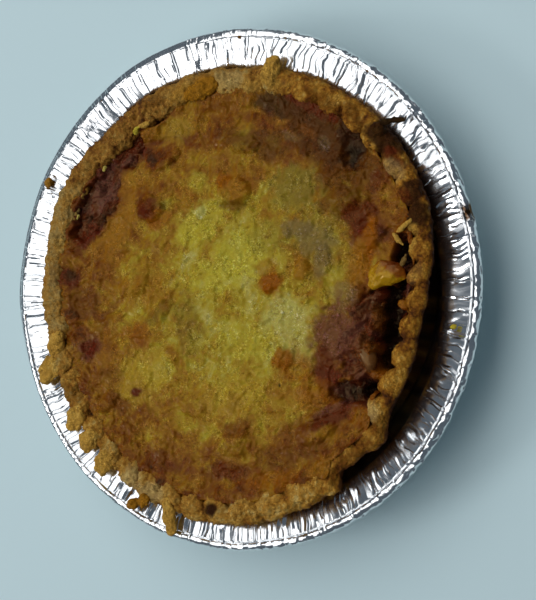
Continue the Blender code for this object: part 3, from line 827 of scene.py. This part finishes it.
CHEESE_STOPS = (
    (0.0, (0.43, 0.36, 0.08)),
    (0.2, (0.37, 0.275, 0.018)),
    (0.36, (0.32, 0.192, 0.011)),
    (0.5, (0.27, 0.125, 0.007)),
    (0.66, (0.20, 0.070, 0.004)),
    (0.82, (0.13, 0.028, 0.002)),
    (1.0, (0.035, 0.008, 0.002)),
)
CHEESE_TINTS = (
    (28, -13, 11, 9, 0, "pale", 0.75),
    (33, -26, 7, 6, 0, "pale", 0.5),
    (4, 12, 20, 10, 30, "lemon", 0.7),
    (-12, 28, 12, 8, 30, "lemon", 0.7),
    (10, -22, 14, 8, -20, "lemon", 0.45),
    (-14, 47, 4, 4, 0, "lemon", 0.5),
    (-12.5, 33, 2.6, 2.6, 0, "pale", 1.0),
    (-19, -14, 7, 14, 15, "olive", 0.5),
    (20, 20, 10, 7, 0, "olive", 0.45),
    (33, 41, 12, 9, 0, "olive", 0.8),
    (43, 18, 12, 15, 0, "olive", 0.5),
    (-40, 1, 13, 10, 0, "amber", 0.55),
    (-60, 20, 8, 9, 0, "amber", 0.5),
    (-44, -38, 16, 11, 30, "golden", 0.5),
    (2, -46, 18, 9, 10, "golden", 0.5),
    (-20, -40, 11, 6, 0, "amber", 0.3),
    (-52, 30, 4, 12, -30, "amber", 0.6),
    (0, 79, 26, 5, 0, "amber", 0.25),
    (-24, 70, 9, 5, 10, "golden", 0.5),
    (20, 60, 10, 6, -20, "cocoa", 0.7),
    (24, 76, 9, 5, -20, "burnt", 0.85),
    (40, 72, 18, 6, -35, "dark", 0.75),
    (41, 66, 19, 8, -42, "cocoa", 0.9),
    (40, 74, 17, 2.6, -30, "crimson", 0.85),
    (44, 55, 12, 6, -30, "cocoa", 0.75),
    (60, 53, 6, 9, -12, "burnt", 0.9),
    (60, 54, 4, 8, -12, "black", 1.0),
    (31, 62, 4, 2, -20, "ash", 0.6),
    (46, 58, 4, 2, -50, "ash", 0.6),
    (38, 64, 5, 2, -40, "rust", 0.7),
    (66, 47, 6, 5, 0, "brown", 0.8),
    (69, 41, 5, 3, 60, "crimson", 0.7),
    (64, 60, 7, 6, -30, "burnt", 0.9),
    (54, 33, 10, 7, 10, "brown", 0.6),
    (51, 44, 9, 5, -10, "brown", 0.75),
    (61, 38, 7, 6, 0, "brown", 0.5),
    (62, 27, 8, 6, -20, "crimson", 0.85),
    (65, 19, 7, 5, 20, "mauve", 0.6),
    (41, 19, 8, 6, 0, "grey", 0.55),
    (44, 11, 4, 6.5, 0, "grey", 0.7),
    (-57, 28, 7, 9, -20, "amber", 0.5),
    (-48, 46, 6, 7, 0, "amber", 0.55),
    (-60, -32, 7, 15, 10, "amber", 0.4),
    (-42, -19, 12, 5, 0, "orange", 0.45),
    (41, 19, 8, 6, 0, "grey", 0.3),
    (33, 24, 7, 4.4, 0, "grey", 0.8),
    (19, 8, 5, 4, 0, "orange", 0.5),
    (32, -33, 6, 6, 0, "orange", 0.6),
    (31, -47, 8, 5, 0, "amber", 0.6),
    (32, -60, 8, 5, 10, "rust", 0.6),
    (44, -73, 8, 4, 20, "amber", 0.6),
    (20, -80, 14, 4, 5, "orange", 0.5),
    (57, 62, 5, 6, 0, "burnt", 0.9),
    (21, 2, 5, 4, 0, "orange", 1.0),
    (35, 7, 3.5, 5, 0, "amber", 0.8),
    (64, 15, 4, 12, -10, "orange", 1.0),
    (61, 24, 3, 6, -20, "crimson", 0.8),
    (60, 8, 4, 10, -5, "amber", 0.7),
    (60, -6, 4, 6, 0, "rust", 0.9),
    (54, -4, 6, 6, 0, "grey", 0.6),
    (50, -20, 10, 13, 0, "mauve", 0.95),
    (44, -32, 5, 8, -20, "crimson", 0.85),
    (46, -37, 6, 5, 0, "crimson", 1.0),
    (48, -53, 13, 4.5, 25, "crimson", 0.95),
    (46, -51, 6, 1.8, 25, "mauve", 0.6),
    (43, -62, 8, 3.5, 20, "amber", 0.5),
    (38, -67, 10, 4, 8, "crimson", 0.7),
    (22, -72, 10, 5, 0, "brown", 0.35),
    (26, -30, 5, 4.4, 0, "orange", 0.85),
    (40, -42, 7, 5, 0, "orange", 0.5),
    (24, -41, 1.1, 1.1, 0, "black", 1.0),
    (-37, 36, 7, 5.5, 0, "crimson", 0.85),
    (-33, 31, 6, 4, 20, "orange", 0.7),
    (-39, 34, 4, 3, 0, "crimson", 0.8),
    (4, 42, 8, 6, 0, "orange", 0.45),
    (0, 46, 4, 3, 0, "orange", 0.8),
    (5, 43, 3, 2.2, 0, "amber", 0.9),
    (3, 35, 7, 2.2, -10, "brown", 0.6),
    (-20, 41, 7, 3.5, 30, "orange", 0.35),
    (-80, 7, 5.5, 4.5, 0, "crimson", 1.0),
    (-79, 8, 3, 2.5, 0, "dark", 0.8),
    (-70, 26, 8, 4, 40, "crimson", 1.0),
    (-29, 55, 6, 1.8, 25, "brown", 0.3),
    (6, 63, 9, 4, -15, "brown", 0.6),
    (-38, 68, 7, 3, 15, "amber", 0.7),
    (-73, -4, 9, 8, 0, "brown", 0.5),
    (-70, -25, 7, 5, 0, "mauve", 0.8),
    (-70, -25, 5, 4, 0, "crimson", 1.0),
    (-62, -12, 9, 3, 50, "brown", 0.3),
    (-33, -9, 7, 3, 40, "brown", 0.5),
    (-46, -44, 2.8, 1.8, 10, "crimson", 1.0),
    (-55, -49, 9, 3.5, -30, "rust", 0.9),
    (-33, -73, 9, 4, -25, "crimson", 0.65),
    (0, -77, 12, 4, 0, "crimson", 0.7),
    (4, -59, 7, 3.2, 20, "rust", 0.85),
    (-58, -37, 8, 5, 0, "brown", 0.3),
    (2, -69, 12, 4, 10, "rust", 0.25),
)
CHEESE_LUMPS = (
    (-45, 3, 12, 1.2), (-42, -18, 13, 1.2), (-62, -30, 12, 1.0), (-34, -66, 10, 1.2), (4, -62, 14, 1.4),
    (42, -58, 10, 1.4), (2, 64, 13, 1.4), (56, 34, 12, 1.4), (-35, 37, 14, 1.4), (4, 41, 13, 1.2),
    (40, -16, 10, 0.8), (-26, 6, 14, -1.1), (10, 18, 14, -0.9), (-16, -34, 14, -0.8), (48, -47, 7, -1.2),
    (20, 50, 9, -0.8),
)
BLISTERS = (
    (4, 41, 8.5, 6.5, 0, 1.8),
    (-37, 36, 7.5, 6, 20, 1.8),
    (21, 2, 5.5, 4.5, 0, 1.6),
    (35, 7, 3.8, 5.5, 0, 1.5),
    (60, 54, 9, 6, 70, -2.2),
    (26, -29, 6, 5, 0, 1.5),
    (33, 24, 7.8, 4.8, 5, 1.1),
    (44, 11, 4.2, 6.5, 0, 0.9),
    (-33, -9, 7.5, 4, 40, 1.3),
    (-12.5, 33, 2.2, 2.2, 0, 0.8),
    (65, 19, 7, 5, 20, 1.3),
    (53, 34, 9, 5, 0, 1.2),
    (50, 44, 8, 4, -10, 1.0),
    (-46, 3, 7, 5, 20, 1.0),
    (-54, -14, 8, 5.5, -20, 1.0),
    (8, 61, 9, 4, -15, 1.4),
    (-28, 57, 7, 2.6, 30, 1.4),
    (-38, 68, 7, 3, 15, 1.2),
    (41, -60, 10, 4, 20, 1.4),
    (45, -51, 11, 2.2, 25, 1.1),
    (2, -66, 9, 5, 0, 1.2),
    (-60, -48, 7, 4, 45, 1.5),
    (-49, -61, 9, 3, -35, 1.2),
    (48, -22, 6, 9, 0, 1.2),
    (58, -4, 5, 8, 10, 1.0),
    (-18, -50, 9, 4, -20, 0.9),
    (14, -44, 7, 3.5, 30, 0.8),
    (-66, 8, 6, 4, 60, 1.0),
)
CHEESE_CELLS = 300
CHEESE_OVERLAP = 3.2  # how far the cheese reaches over the rim's inner edge
CHEESE_UNDERSIDE = 10.0
SKIRT_TAPER = 0.92  # keeps the hidden lower edge of the cheese and of the filling inside the crust


def oval_distance(x, y, oval):
    """Distance from an oval's middle: 1 on the oval (x, y, half length, half width, turn)."""
    dx, dy = x - oval[0], y - oval[1]
    cos, sin = math.cos(math.radians(oval[4])), math.sin(math.radians(oval[4]))
    return math.hypot((cos * dx + sin * dy) / oval[2], (cos * dy - sin * dx) / oval[3])


def domes_at(domes, x, y):
    """How high rounded bumps (x, y, half length, half width, turn, height) stand at a place."""
    total = 0.0
    for dome in domes:
        distance = oval_distance(x, y, dome)
        if distance < 1.0:
            total += dome[5] * (1.0 - distance ** 3) ** 0.7
    return total


def wrinkle(x, y, scale, seed):
    """1 on the crest of a thin winding ridge, falling quickly to 0 beside it."""
    return (1.0 - min(abs(bumps(x, y, 0.0, scale, seed)) * 2.0, 1.0)) ** 6


def bare_distance(x, y):
    """Below 1 where the cheese has drawn back from the filling, growing away from such a place."""
    nearest = min(oval_distance(x, y, oval) for oval in BARE_OVALS)
    return nearest + 0.3 * bumps(x, y, 0.0, 6.0, 3.0) + 0.16 * bumps(x, y, 0.0, 2.2, 6.0)


def bareness(x, y):
    """1 where the filling shows, 0 where cheese covers it."""
    return 1.0 - ease(bare_distance(x, y), 0.65, 1.1)


def cheese_height(x, y):
    azimuth = azimuth_of(x, y)
    radius = math.hypot(x, y)
    bare = bareness(x, y)
    warp_x, warp_y = x + 2.5 * bumps(x, y, 0.0, 7.0, 1.0), y + 2.5 * bumps(x, y, 0.0, 7.0, 4.0)
    height = CHEESE_TOP + 0.9 * noise.noise(Vector((x / 34, y / 34, 1.0)))
    height += patches_at(CHEESE_LUMPS, warp_x, warp_y)
    height += domes_at(BLISTERS, x + 1.2 * bumps(x, y, 0.0, 3.0, 8.0), y + 1.2 * bumps(x, y, 0.0, 3.0, 2.0))
    folds = 0.9 * abs(bumps(warp_x, warp_y, 0.0, 8.0, 2.0))
    height += folds + 0.25 * abs(bumps(warp_x, warp_y, 0.0, 3.6, 7.0)) - 0.3
    height += 0.5 * wrinkle(warp_x, warp_y, 6.5, 1.0) + 0.36 * wrinkle(warp_y, warp_x, 3.2, 5.0)
    height += 0.45 * ease(bumps(warp_x, warp_y, 0.0, 6.5, 5.0), -0.1, 0.1)
    coarse = 0.2 + 0.8 * ease(bumps(x, y, 0.0, 6.0, 13.0), -0.15, 0.15)
    curds = 0.26 * (grains(x, y, 0.0, 1.9, 6.0) - 0.5)
    height += coarse * (0.26 * rough_crags(x, y, 0.0, 1.8, 2, 3.0) + curds)
    height += 1.5 * ease(radius, rim_inside(azimuth) - 7.0, rim_inside(azimuth) + 1.0) * (1.0 - bare)
    over_filling = filling_height(x, y) + 0.9 - 2.4 * bare
    return height + (over_filling - height) * ease(bare, 0.0, 0.5)


def cheese_toast(x, y):
    radius = math.hypot(x - 4, y + 6)
    toast = 0.25 + 0.17 * ease(radius, 15.0, 46.0) + 0.31 * ease(radius, 42.0, 84.0)
    warp_x, warp_y = x + 4.0 * bumps(x, y, 0.0, 12.0, 1.0), y + 4.0 * bumps(x, y, 0.0, 12.0, 4.0)
    toast += 0.27 * rough_crags(warp_x, warp_y, 0.0, 14.0, 3, 1.0)
    toast += 0.14 * (abs(bumps(warp_x, warp_y, 0.0, 8.0, 2.0)) - 0.25)
    toast += 0.06 * (ease(bumps(warp_x, warp_y, 0.0, 6.5, 5.0), -0.06, 0.06) - 0.5)
    toast += 0.06 * (ease(bumps(warp_y, warp_x, 0.0, 3.0, 8.0), -0.1, 0.1) - 0.5)
    # Painted highlight: the thin winding ridges a little lighter.
    toast -= 0.14 * wrinkle(warp_y, warp_x, 3.2, 5.0)
    return toast + 0.06 * bumps(warp_x + 0.6 * y, 2.2 * warp_y - x, 0.0, 3.0, 7.0)


def disc(cells):
    """A flat round sheet of unit radius made from a grid of square cells."""
    bm = bmesh.new()
    bmesh.ops.create_grid(bm, x_segments=cells, y_segments=cells, size=1.0)
    for vert in bm.verts:
        u, v = vert.co.x, vert.co.y
        vert.co.x = u * math.sqrt(1.0 - v * v / 2.0)
        vert.co.y = v * math.sqrt(1.0 - u * u / 2.0)
    return bm


def shape_disc(bm, edge, height, floor):
    """Spreads a unit disc to edge(azimuth), lifts it to height(x, y) and closes it underneath at floor."""
    for vert in bm.verts:
        azimuth = azimuth_of(vert.co.x, vert.co.y)
        reach = edge(azimuth)
        x, y = vert.co.x * reach, vert.co.y * reach
        vert.co = Vector((x, y, height(x, y))) * MM
    border = [e for e in bm.edges if e.is_boundary]
    skirt = bmesh.ops.extrude_edge_only(bm, edges=border)["geom"]
    for item in skirt:
        if isinstance(item, bmesh.types.BMVert):
            item.co = Vector((item.co.x * SKIRT_TAPER, item.co.y * SKIRT_TAPER, floor * MM))
    close_ends(bm)


def make_cheese(material):
    bm = disc(CHEESE_CELLS)
    shape_disc(bm, lambda azimuth: rim_inside(azimuth) + CHEESE_OVERLAP, cheese_height, CHEESE_UNDERSIDE)

    def colour(x, y, z):
        edge = bare_distance(x, y)
        stain = TINTS["orange"] if x > 0.0 else TINTS["crimson"]
        tone = blend(ramp(CHEESE_STOPS, cheese_toast(x, y)), stain, 0.7 * (1.0 - ease(edge, 1.0, 1.5)))
        return blend(tinted(tone, CHEESE_TINTS, x, y), filling_tone(x, y, z), 1.0 - ease(edge, 0.8, 1.2))

    piece = make_piece("browned_cheese", bm, material, colour)
    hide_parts("cheese_topping")
    return piece


# The filling

FILLING_LUMPS = (
    (50, -20, 14, 2.4), (46, -34, 9, 1.6), (62, -24, 11, 2.0), (75, 0, 7, -9.0), (74, -10, 8, -9.0),
    (73, -20, 8, -11.0), (71, -31, 7, -11.0), (64, -43, 7, -8.0), (55, -43, 7, -3.5), (79, 12, 8, -8.0),
    (40, 70, 12, -2.0), (-62, 38, 14, 0.4), (-50, 60, 12, 0.8), (-31, 77, 7, -6.0), (52, -78, 6, -3.0),
)
FILLING_LOBES = (
    (64, -29, 12, 5.5, -58, 2.6),
    (58, -12, 9, 5.5, 60, 1.8),
    (68, -7, 5, 4, 0, 1.4),
    (57, -36, 6, 4, 20, 1.6),
    (54, -24, 6, 4, 80, 1.4),
    (67, -17, 4, 6, 10, 1.8),
    (-60, 34, 7, 5, 50, 1.6),
    (-52, 52, 7, 4, 40, 1.6),
    (-66, 46, 6, 3.5, 60, 1.4),
    (-44, 62, 8, 3.5, 36, 1.6),
    (-68, 30, 5, 3, 50, 1.4),
    (-56, 60, 5, 3, 30, 1.2),
)
FILLING_STOPS = (
    (0.0, (0.008, 0.003, 0.002)),
    (0.25, (0.030, 0.007, 0.003)),
    (0.5, (0.085, 0.016, 0.004)),
    (0.75, (0.135, 0.038, 0.009)),
    (1.0, (0.20, 0.085, 0.03)),
)
FILLING_TINTS = (
    (64, -29, 11, 5, -58, "rust", 0.9),
    (67, -33, 7, 4, -58, "orange", 0.75),
    (68, -14, 2.5, 6, 10, "rust", 0.8),
    (-48, 64, 12, 4, 25, "crimson", 0.85),
    (-60, 56, 5, 3, 40, "plum", 0.8),
    (-63, 46, 7, 5, 60, "plum", 0.7),
    (-61, 33, 5, 4, 50, "dark", 0.5),
    # Painted shadow: a thin dark band along the crust's inner edge.
    (-70, 44, 9, 2, 60, "dark", 0.6),
    (-72, 26, 7, 4, 40, "crimson", 0.9),
    (46, -36, 5, 4, 0, "crimson", 0.9),
    (50, -18, 9, 9, 0, "mauve", 0.5),
    (56, -22, 6, 8, 0, "plum", 0.5),
    # Painted shade in the sunken hollow beside the bean.
    (56, -43, 9, 5, 10, "dark", 0.3),
    (58, -33, 10, 8, 0, "crimson", 0.3),
)
FILLING_CELLS = 250
FILLING_OVERLAP = 1.5
FILLING_UNDERSIDE = 5.0


def filling_height(x, y):
    warp_x, warp_y = x + 1.4 * bumps(x, y, 0.0, 4.0, 8.0), y + 1.4 * bumps(x, y, 0.0, 4.0, 2.0)
    height = FILLING_TOP + 1.2 * bumps(x, y, 0.0, 9.0, 3.0) + patches_at(FILLING_LUMPS, warp_x, warp_y)
    height += domes_at(FILLING_LOBES, warp_x, warp_y) + 0.9 * wrinkle(warp_x, warp_y, 5.0, 3.0)
    height += 1.6 * (grains(warp_x, warp_y, 0.0, 4.2, 2.0) - 0.5) + 0.7 * (grains(x, y, 3.0, 1.8, 5.0) - 0.5)
    return height + 0.35 * rough_crags(x, y, 0.0, 1.8, 3, 4.0)


def filling_tone(x, y, z):
    radius, arc = math.hypot(x, y), 62.0 * math.atan2(y, x)
    tone = 0.48 + 0.3 * rough_crags(x, y, 0.0, 5.0, 4, 2.0) + 0.2 * bumps(radius, arc / 3.5, 0.0, 1.6, 5.0)
    # Painted shade: darker lower down, in the deep gaps by the crust.
    tone -= 0.6 * ease(-z, -29.5, -25.0)
    red = 0.7 * ease(bumps(x, y, 0.0, 7.0, 3.0), 0.0, 0.2)
    colour = blend(ramp(FILLING_STOPS, tone), TINTS["crimson"], red)
    colour = blend(colour, TINTS["plum"], 0.6 * ease(bumps(x, y, 0.0, 5.0, 9.0), 0.05, 0.25))
    colour = tinted(colour, FILLING_TINTS, x, y)
    # Painted shade: the lowest places go nearly black.
    return blend(colour, FILLING_STOPS[0][1], 0.9 * ease(-z, -28.5, -25.5))


def make_filling(material):
    bm = disc(FILLING_CELLS)

    def height(x, y):
        return filling_height(x, y) - 2.5 * (1.0 - ease(bareness(x, y), 0.1, 0.5))

    shape_disc(bm, lambda azimuth: rim_inside(azimuth) + FILLING_OVERLAP, height, FILLING_UNDERSIDE)
    piece = make_piece("chilli", bm, material, filling_tone)
    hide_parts("chilli_filling")
    return piece


# The pepper and the bean

PEPPER_FLESH = (0.42, 0.22, 0.004)
PEPPER_SKIN = (0.22, 0.055, 0.003)
BEAN_LIGHT = (0.16, 0.062, 0.014)
BEAN_DARK = (0.07, 0.022, 0.008)


def make_bent_piece(name, node, material, size, bend, turn, place, depth, colour):
    """A rounded piece, longer than wide and bent like a crescent."""
    bm = bmesh.new()
    bmesh.ops.create_uvsphere(bm, u_segments=64, v_segments=40, radius=0.5)
    bmesh.ops.rotate(bm, verts=bm.verts[:], matrix=Matrix.Rotation(math.radians(90), 3, "Y"))
    bmesh.ops.scale(bm, verts=bm.verts[:], vec=Vector(size) * MM)
    for vert in bm.verts:
        vert.co.y -= bend * MM * (2.0 * vert.co.x / (size[0] * MM)) ** 2
    bmesh.ops.rotate(bm, verts=bm.verts[:], matrix=Matrix.Rotation(math.radians(turn), 3, "Z"))
    bmesh.ops.translate(bm, verts=bm.verts[:], vec=Vector(place) * MM)
    roughen(bm, depth)
    piece = make_piece(name, bm, material, colour)
    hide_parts(node)
    return piece


def make_pepper(material):
    def colour(x, y, z):
        skin = ease(y + 0.5 * (x - 72.0) + 4.0 * crags(x, y, z, 4.0, 3), 3.0, 7.0)
        tone = blend(PEPPER_FLESH, PEPPER_SKIN, skin)
        return blend(tone, TINTS["crimson"], 0.8 * falloff(math.hypot(x - 76.0, y - 8.0), 5.0))

    return make_bent_piece(
        "yellow_pepper", "pepper_piece", material, (17.5, 10.5, 5.4), 3.0, 14, (71.4, 4.0, 31.6),
        lambda x, y, z: 1.0 * crags(x, y, z, 5.0, 4), colour,
    )


def make_bean(material):
    def colour(x, y, z):
        return blend(BEAN_LIGHT, BEAN_DARK, 0.5 + 0.6 * bumps(x, y, z, 4.0))

    return make_bent_piece(
        "bean", "bean_piece", material, (13.0, 7.5, 6.2), 1.8, -58, (63.4, -29.0, 31.0),
        lambda x, y, z: 0.2 * crags(x, y, z, 3.0, 3), colour,
    )


# Cheese that ran over the rim, and crumbs

DRIPS = (  # x, y, length, width, thickness, turn, name of the colour
    (23.5, 89.5, 14.0, 8.0, 4.4, 78, "tan"),
    (-10.0, 85.5, 17.0, 9.0, 4.6, 20, "amber"),
    (-86.5, -22.0, 13.0, 8.0, 4.2, 70, "tan"),
    (-90.5, -34.0, 13.0, 10.0, 4.2, 58, "tan"),
    (-76.5, -55.5, 13.0, 9.0, 4.0, 62, "tan"),
    (-69.5, -65.5, 12.0, 9.0, 4.0, 50, "tan"),
    (-61.5, -75.0, 12.0, 9.0, 4.0, 65, "tan"),
    (-46.5, -92.5, 7.0, 5.0, 3.2, 20, "amber"),
    (-41.5, -91.0, 7.0, 5.5, 3.2, 60, "amber"),
    (-28.5, -97.0, 17.0, 6.5, 3.4, 98, "tan"),
    (76.0, 64.0, 12.0, 3.0, 2.4, 4, "black"),
    (70.5, 61.5, 8.0, 5.0, 3.4, -20, "burnt"),
)
DRIP_HEIGHT = 34.4


def rounded_lumps(lumps, subdivisions):
    """One mesh of stretched balls (place, size, turn)."""
    bm = bmesh.new()
    for place, size, turn in lumps:
        made = bmesh.ops.create_icosphere(bm, subdivisions=subdivisions, radius=0.5)["verts"]
        bmesh.ops.scale(bm, verts=made, vec=Vector(size) * MM)
        bmesh.ops.rotate(bm, verts=made, matrix=Matrix.Rotation(math.radians(turn), 3, "Z"))
        bmesh.ops.translate(bm, verts=made, vec=Vector(place) * MM)
    return bm


def make_drips(material):
    bm = rounded_lumps([((*drip[:2], DRIP_HEIGHT), drip[2:5], drip[5]) for drip in DRIPS], 5)
    roughen(bm, lambda x, y, z: 1.3 * crags(x, y, z, 5.0, 3, 3.0) + 0.3 * crags(x, y, z, 1.5, 2, 5.0))

    def colour(x, y, z):
        nearest = min(DRIPS, key=lambda drip: math.hypot(x - drip[0], y - drip[1]) / drip[2])
        toast = 0.4 + 0.4 * rough_crags(x, y, z, 5.0, 4, 7.0)
        return blend(ramp(CRUST_STOPS, toast), TINTS[nearest[6]], 0.6 if nearest[6] == "tan" else 0.95)

    return make_piece("baked_on_cheese", bm, material, colour)


CRUMBS = (  # x, y, z, length, width, thickness, turn, name of the colour
    (-92.0, 51.0, 31.6, 4.8, 3.8, 3.0, 30, "amber"),
    (7.0, 106.5, 31.0, 1.6, 1.2, 1.0, 0, "brown"),
    (99.0, -18.0, 30.2, 2.4, 1.6, 1.0, 20, "lemon"),
    (-60.0, 55.0, 33.4, 2.6, 1.6, 1.2, 60, "pale"),
    (-75.0, 34.0, 33.2, 2.4, 0.9, 0.9, 70, "pale"),
    (-39.0, 72.5, 34.6, 6.0, 2.6, 2.0, 10, "tan"),
    (-43.0, 70.5, 34.4, 4.0, 2.4, 1.8, 60, "lemon"),
    (78.0, 17.0, 33.4, 7.0, 1.8, 1.4, -50, "tan"),
    (81.0, 22.0, 34.6, 8.0, 2.2, 1.6, 35, "tan"),
    (80.0, 9.0, 32.4, 5.0, 1.4, 1.2, 70, "ash"),
)


def make_crumbs(material):
    """Loose crumbs, flakes and threads of cheese."""
    bm = rounded_lumps([(crumb[:3], crumb[3:6], crumb[6]) for crumb in CRUMBS], 4)
    roughen(bm, lambda x, y, z: 0.7 * crags(x, y, z, 2.6, 3, 3.0))

    def colour(x, y, z):
        nearest = min(CRUMBS, key=lambda crumb: math.hypot(x - crumb[0], y - crumb[1]))
        toast = 0.3 + 0.3 * rough_crags(x, y, z, 2.0, 3, 7.0)
        return blend(ramp(CRUST_STOPS, toast), TINTS[nearest[7]], 0.75)

    return make_piece("crumbs", bm, material, colour)


# Floor, light and camera

FLOOR_COLOUR = (0.62, 0.785, 0.815, 1.0)
ROOM_COLOUR = (0.65, 0.82, 1.0, 1.0)
ROOM_STRENGTH = 0.12
CAMERA_AZIMUTH = -4.1
CAMERA_TILT = 26.84  # from straight down
CAMERA_ROLL = -0.81
CAMERA_TARGET = (16.84, -5.22, EDGE_HEIGHT)
CAMERA_DISTANCE = 0.55
CAMERA_LENS = 78.5


def make_floor():
    bm = bmesh.new()
    bmesh.ops.create_grid(bm, x_segments=2, y_segments=2, size=3.0)
    mesh = bpy.data.meshes.new("floor")
    bm.to_mesh(mesh)
    bm.free()
    floor = bpy.data.objects.new("floor", mesh)
    bpy.context.scene.collection.objects.link(floor)
    material, nodes, links = new_material("pale_floor")
    shader = nodes["Principled BSDF"]
    shader.inputs["Base Color"].default_value = FLOOR_COLOUR
    shader.inputs["Roughness"].default_value = 0.6
    shader.inputs["Specular IOR Level"].default_value = 0.2
    mesh.materials.append(material)


def area_light(name, place, aim, size, power):
    """A soft rectangular light at a place, aimed at a point; size is (across X, across Y)."""
    data = bpy.data.lights.new(name, "AREA")
    data.shape = "RECTANGLE"
    data.size, data.size_y = size
    data.energy = power
    light = bpy.data.objects.new(name, data)
    bpy.context.scene.collection.objects.link(light)
    light.location = place
    away = Vector(place) - Vector(aim)
    side = Vector((0.0, 1.0, 0.0)).cross(away).normalized()
    up = away.normalized().cross(side)
    light.rotation_euler = Matrix((side, up, away.normalized())).transposed().to_euler()


def seen_at(elevation, azimuth, distance):
    """A place at a distance in metres from the middle, in a direction given in degrees."""
    height, turn = math.radians(elevation), math.radians(azimuth)
    flat = distance * math.cos(height)
    return (flat * math.cos(turn), flat * math.sin(turn), distance * math.sin(height))


def make_light():
    """A wide soft light high at the back left, which casts the shadow, a small low one on the left, which
    gives the foil its bright lines, and a dim room."""
    area_light("softbox", seen_at(65, 130, 1.68), (-0.1, 0.25, 0.0), (1.5, 3.6), 26.5)
    area_light("window", seen_at(37, 196, 3.2), (0.0, 0.0, 0.0), (0.4, 1.0), 16.0)
    world = bpy.data.worlds.new("dim_room")
    world.use_nodes = True
    world.node_tree.nodes["Background"].inputs["Color"].default_value = ROOM_COLOUR
    world.node_tree.nodes["Background"].inputs["Strength"].default_value = ROOM_STRENGTH
    bpy.context.scene.world = world
    bpy.context.scene.view_settings.view_transform = "Standard"


def make_camera():
    """Looks down on the pie from its right-hand side, turned so that the top of the view is +Y."""
    azimuth, tilt, roll = (math.radians(angle) for angle in (CAMERA_AZIMUTH, CAMERA_TILT, CAMERA_ROLL))
    target = Vector(CAMERA_TARGET) * MM
    away = Vector((math.sin(tilt) * math.cos(azimuth), math.sin(tilt) * math.sin(azimuth), math.cos(tilt)))
    right = (-away).cross(Vector((0.0, 1.0, 0.0))).normalized()
    up = right.cross(-away)
    right, up = math.cos(roll) * right + math.sin(roll) * up, -math.sin(roll) * right + math.cos(roll) * up
    data = bpy.data.cameras.new("camera")
    data.lens = CAMERA_LENS
    camera = bpy.data.objects.new("camera", data)
    turned = Matrix((right, up, away)).transposed().to_4x4()
    camera.matrix_world = Matrix.Translation(target + away * CAMERA_DISTANCE) @ turned
    bpy.context.scene.collection.objects.link(camera)
    bpy.context.scene.camera = camera


def main():
    foil = foil_material()
    crust = food_material("baked_crust", CRUST_LOOK)
    cheese = food_material("browned_cheese", CHEESE_LOOK)
    filling = food_material("moist_chilli", CHILLI_LOOK)
    vegetable = food_material("cooked_vegetable", VEGETABLE_LOOK)
    make_foil_tin(foil)
    make_crust(crust)
    make_cheese(cheese)
    make_filling(filling)
    make_pepper(vegetable)
    make_bean(vegetable)
    make_drips(crust)
    make_crumbs(crust)
    make_floor()
    make_light()
    make_camera()


main()
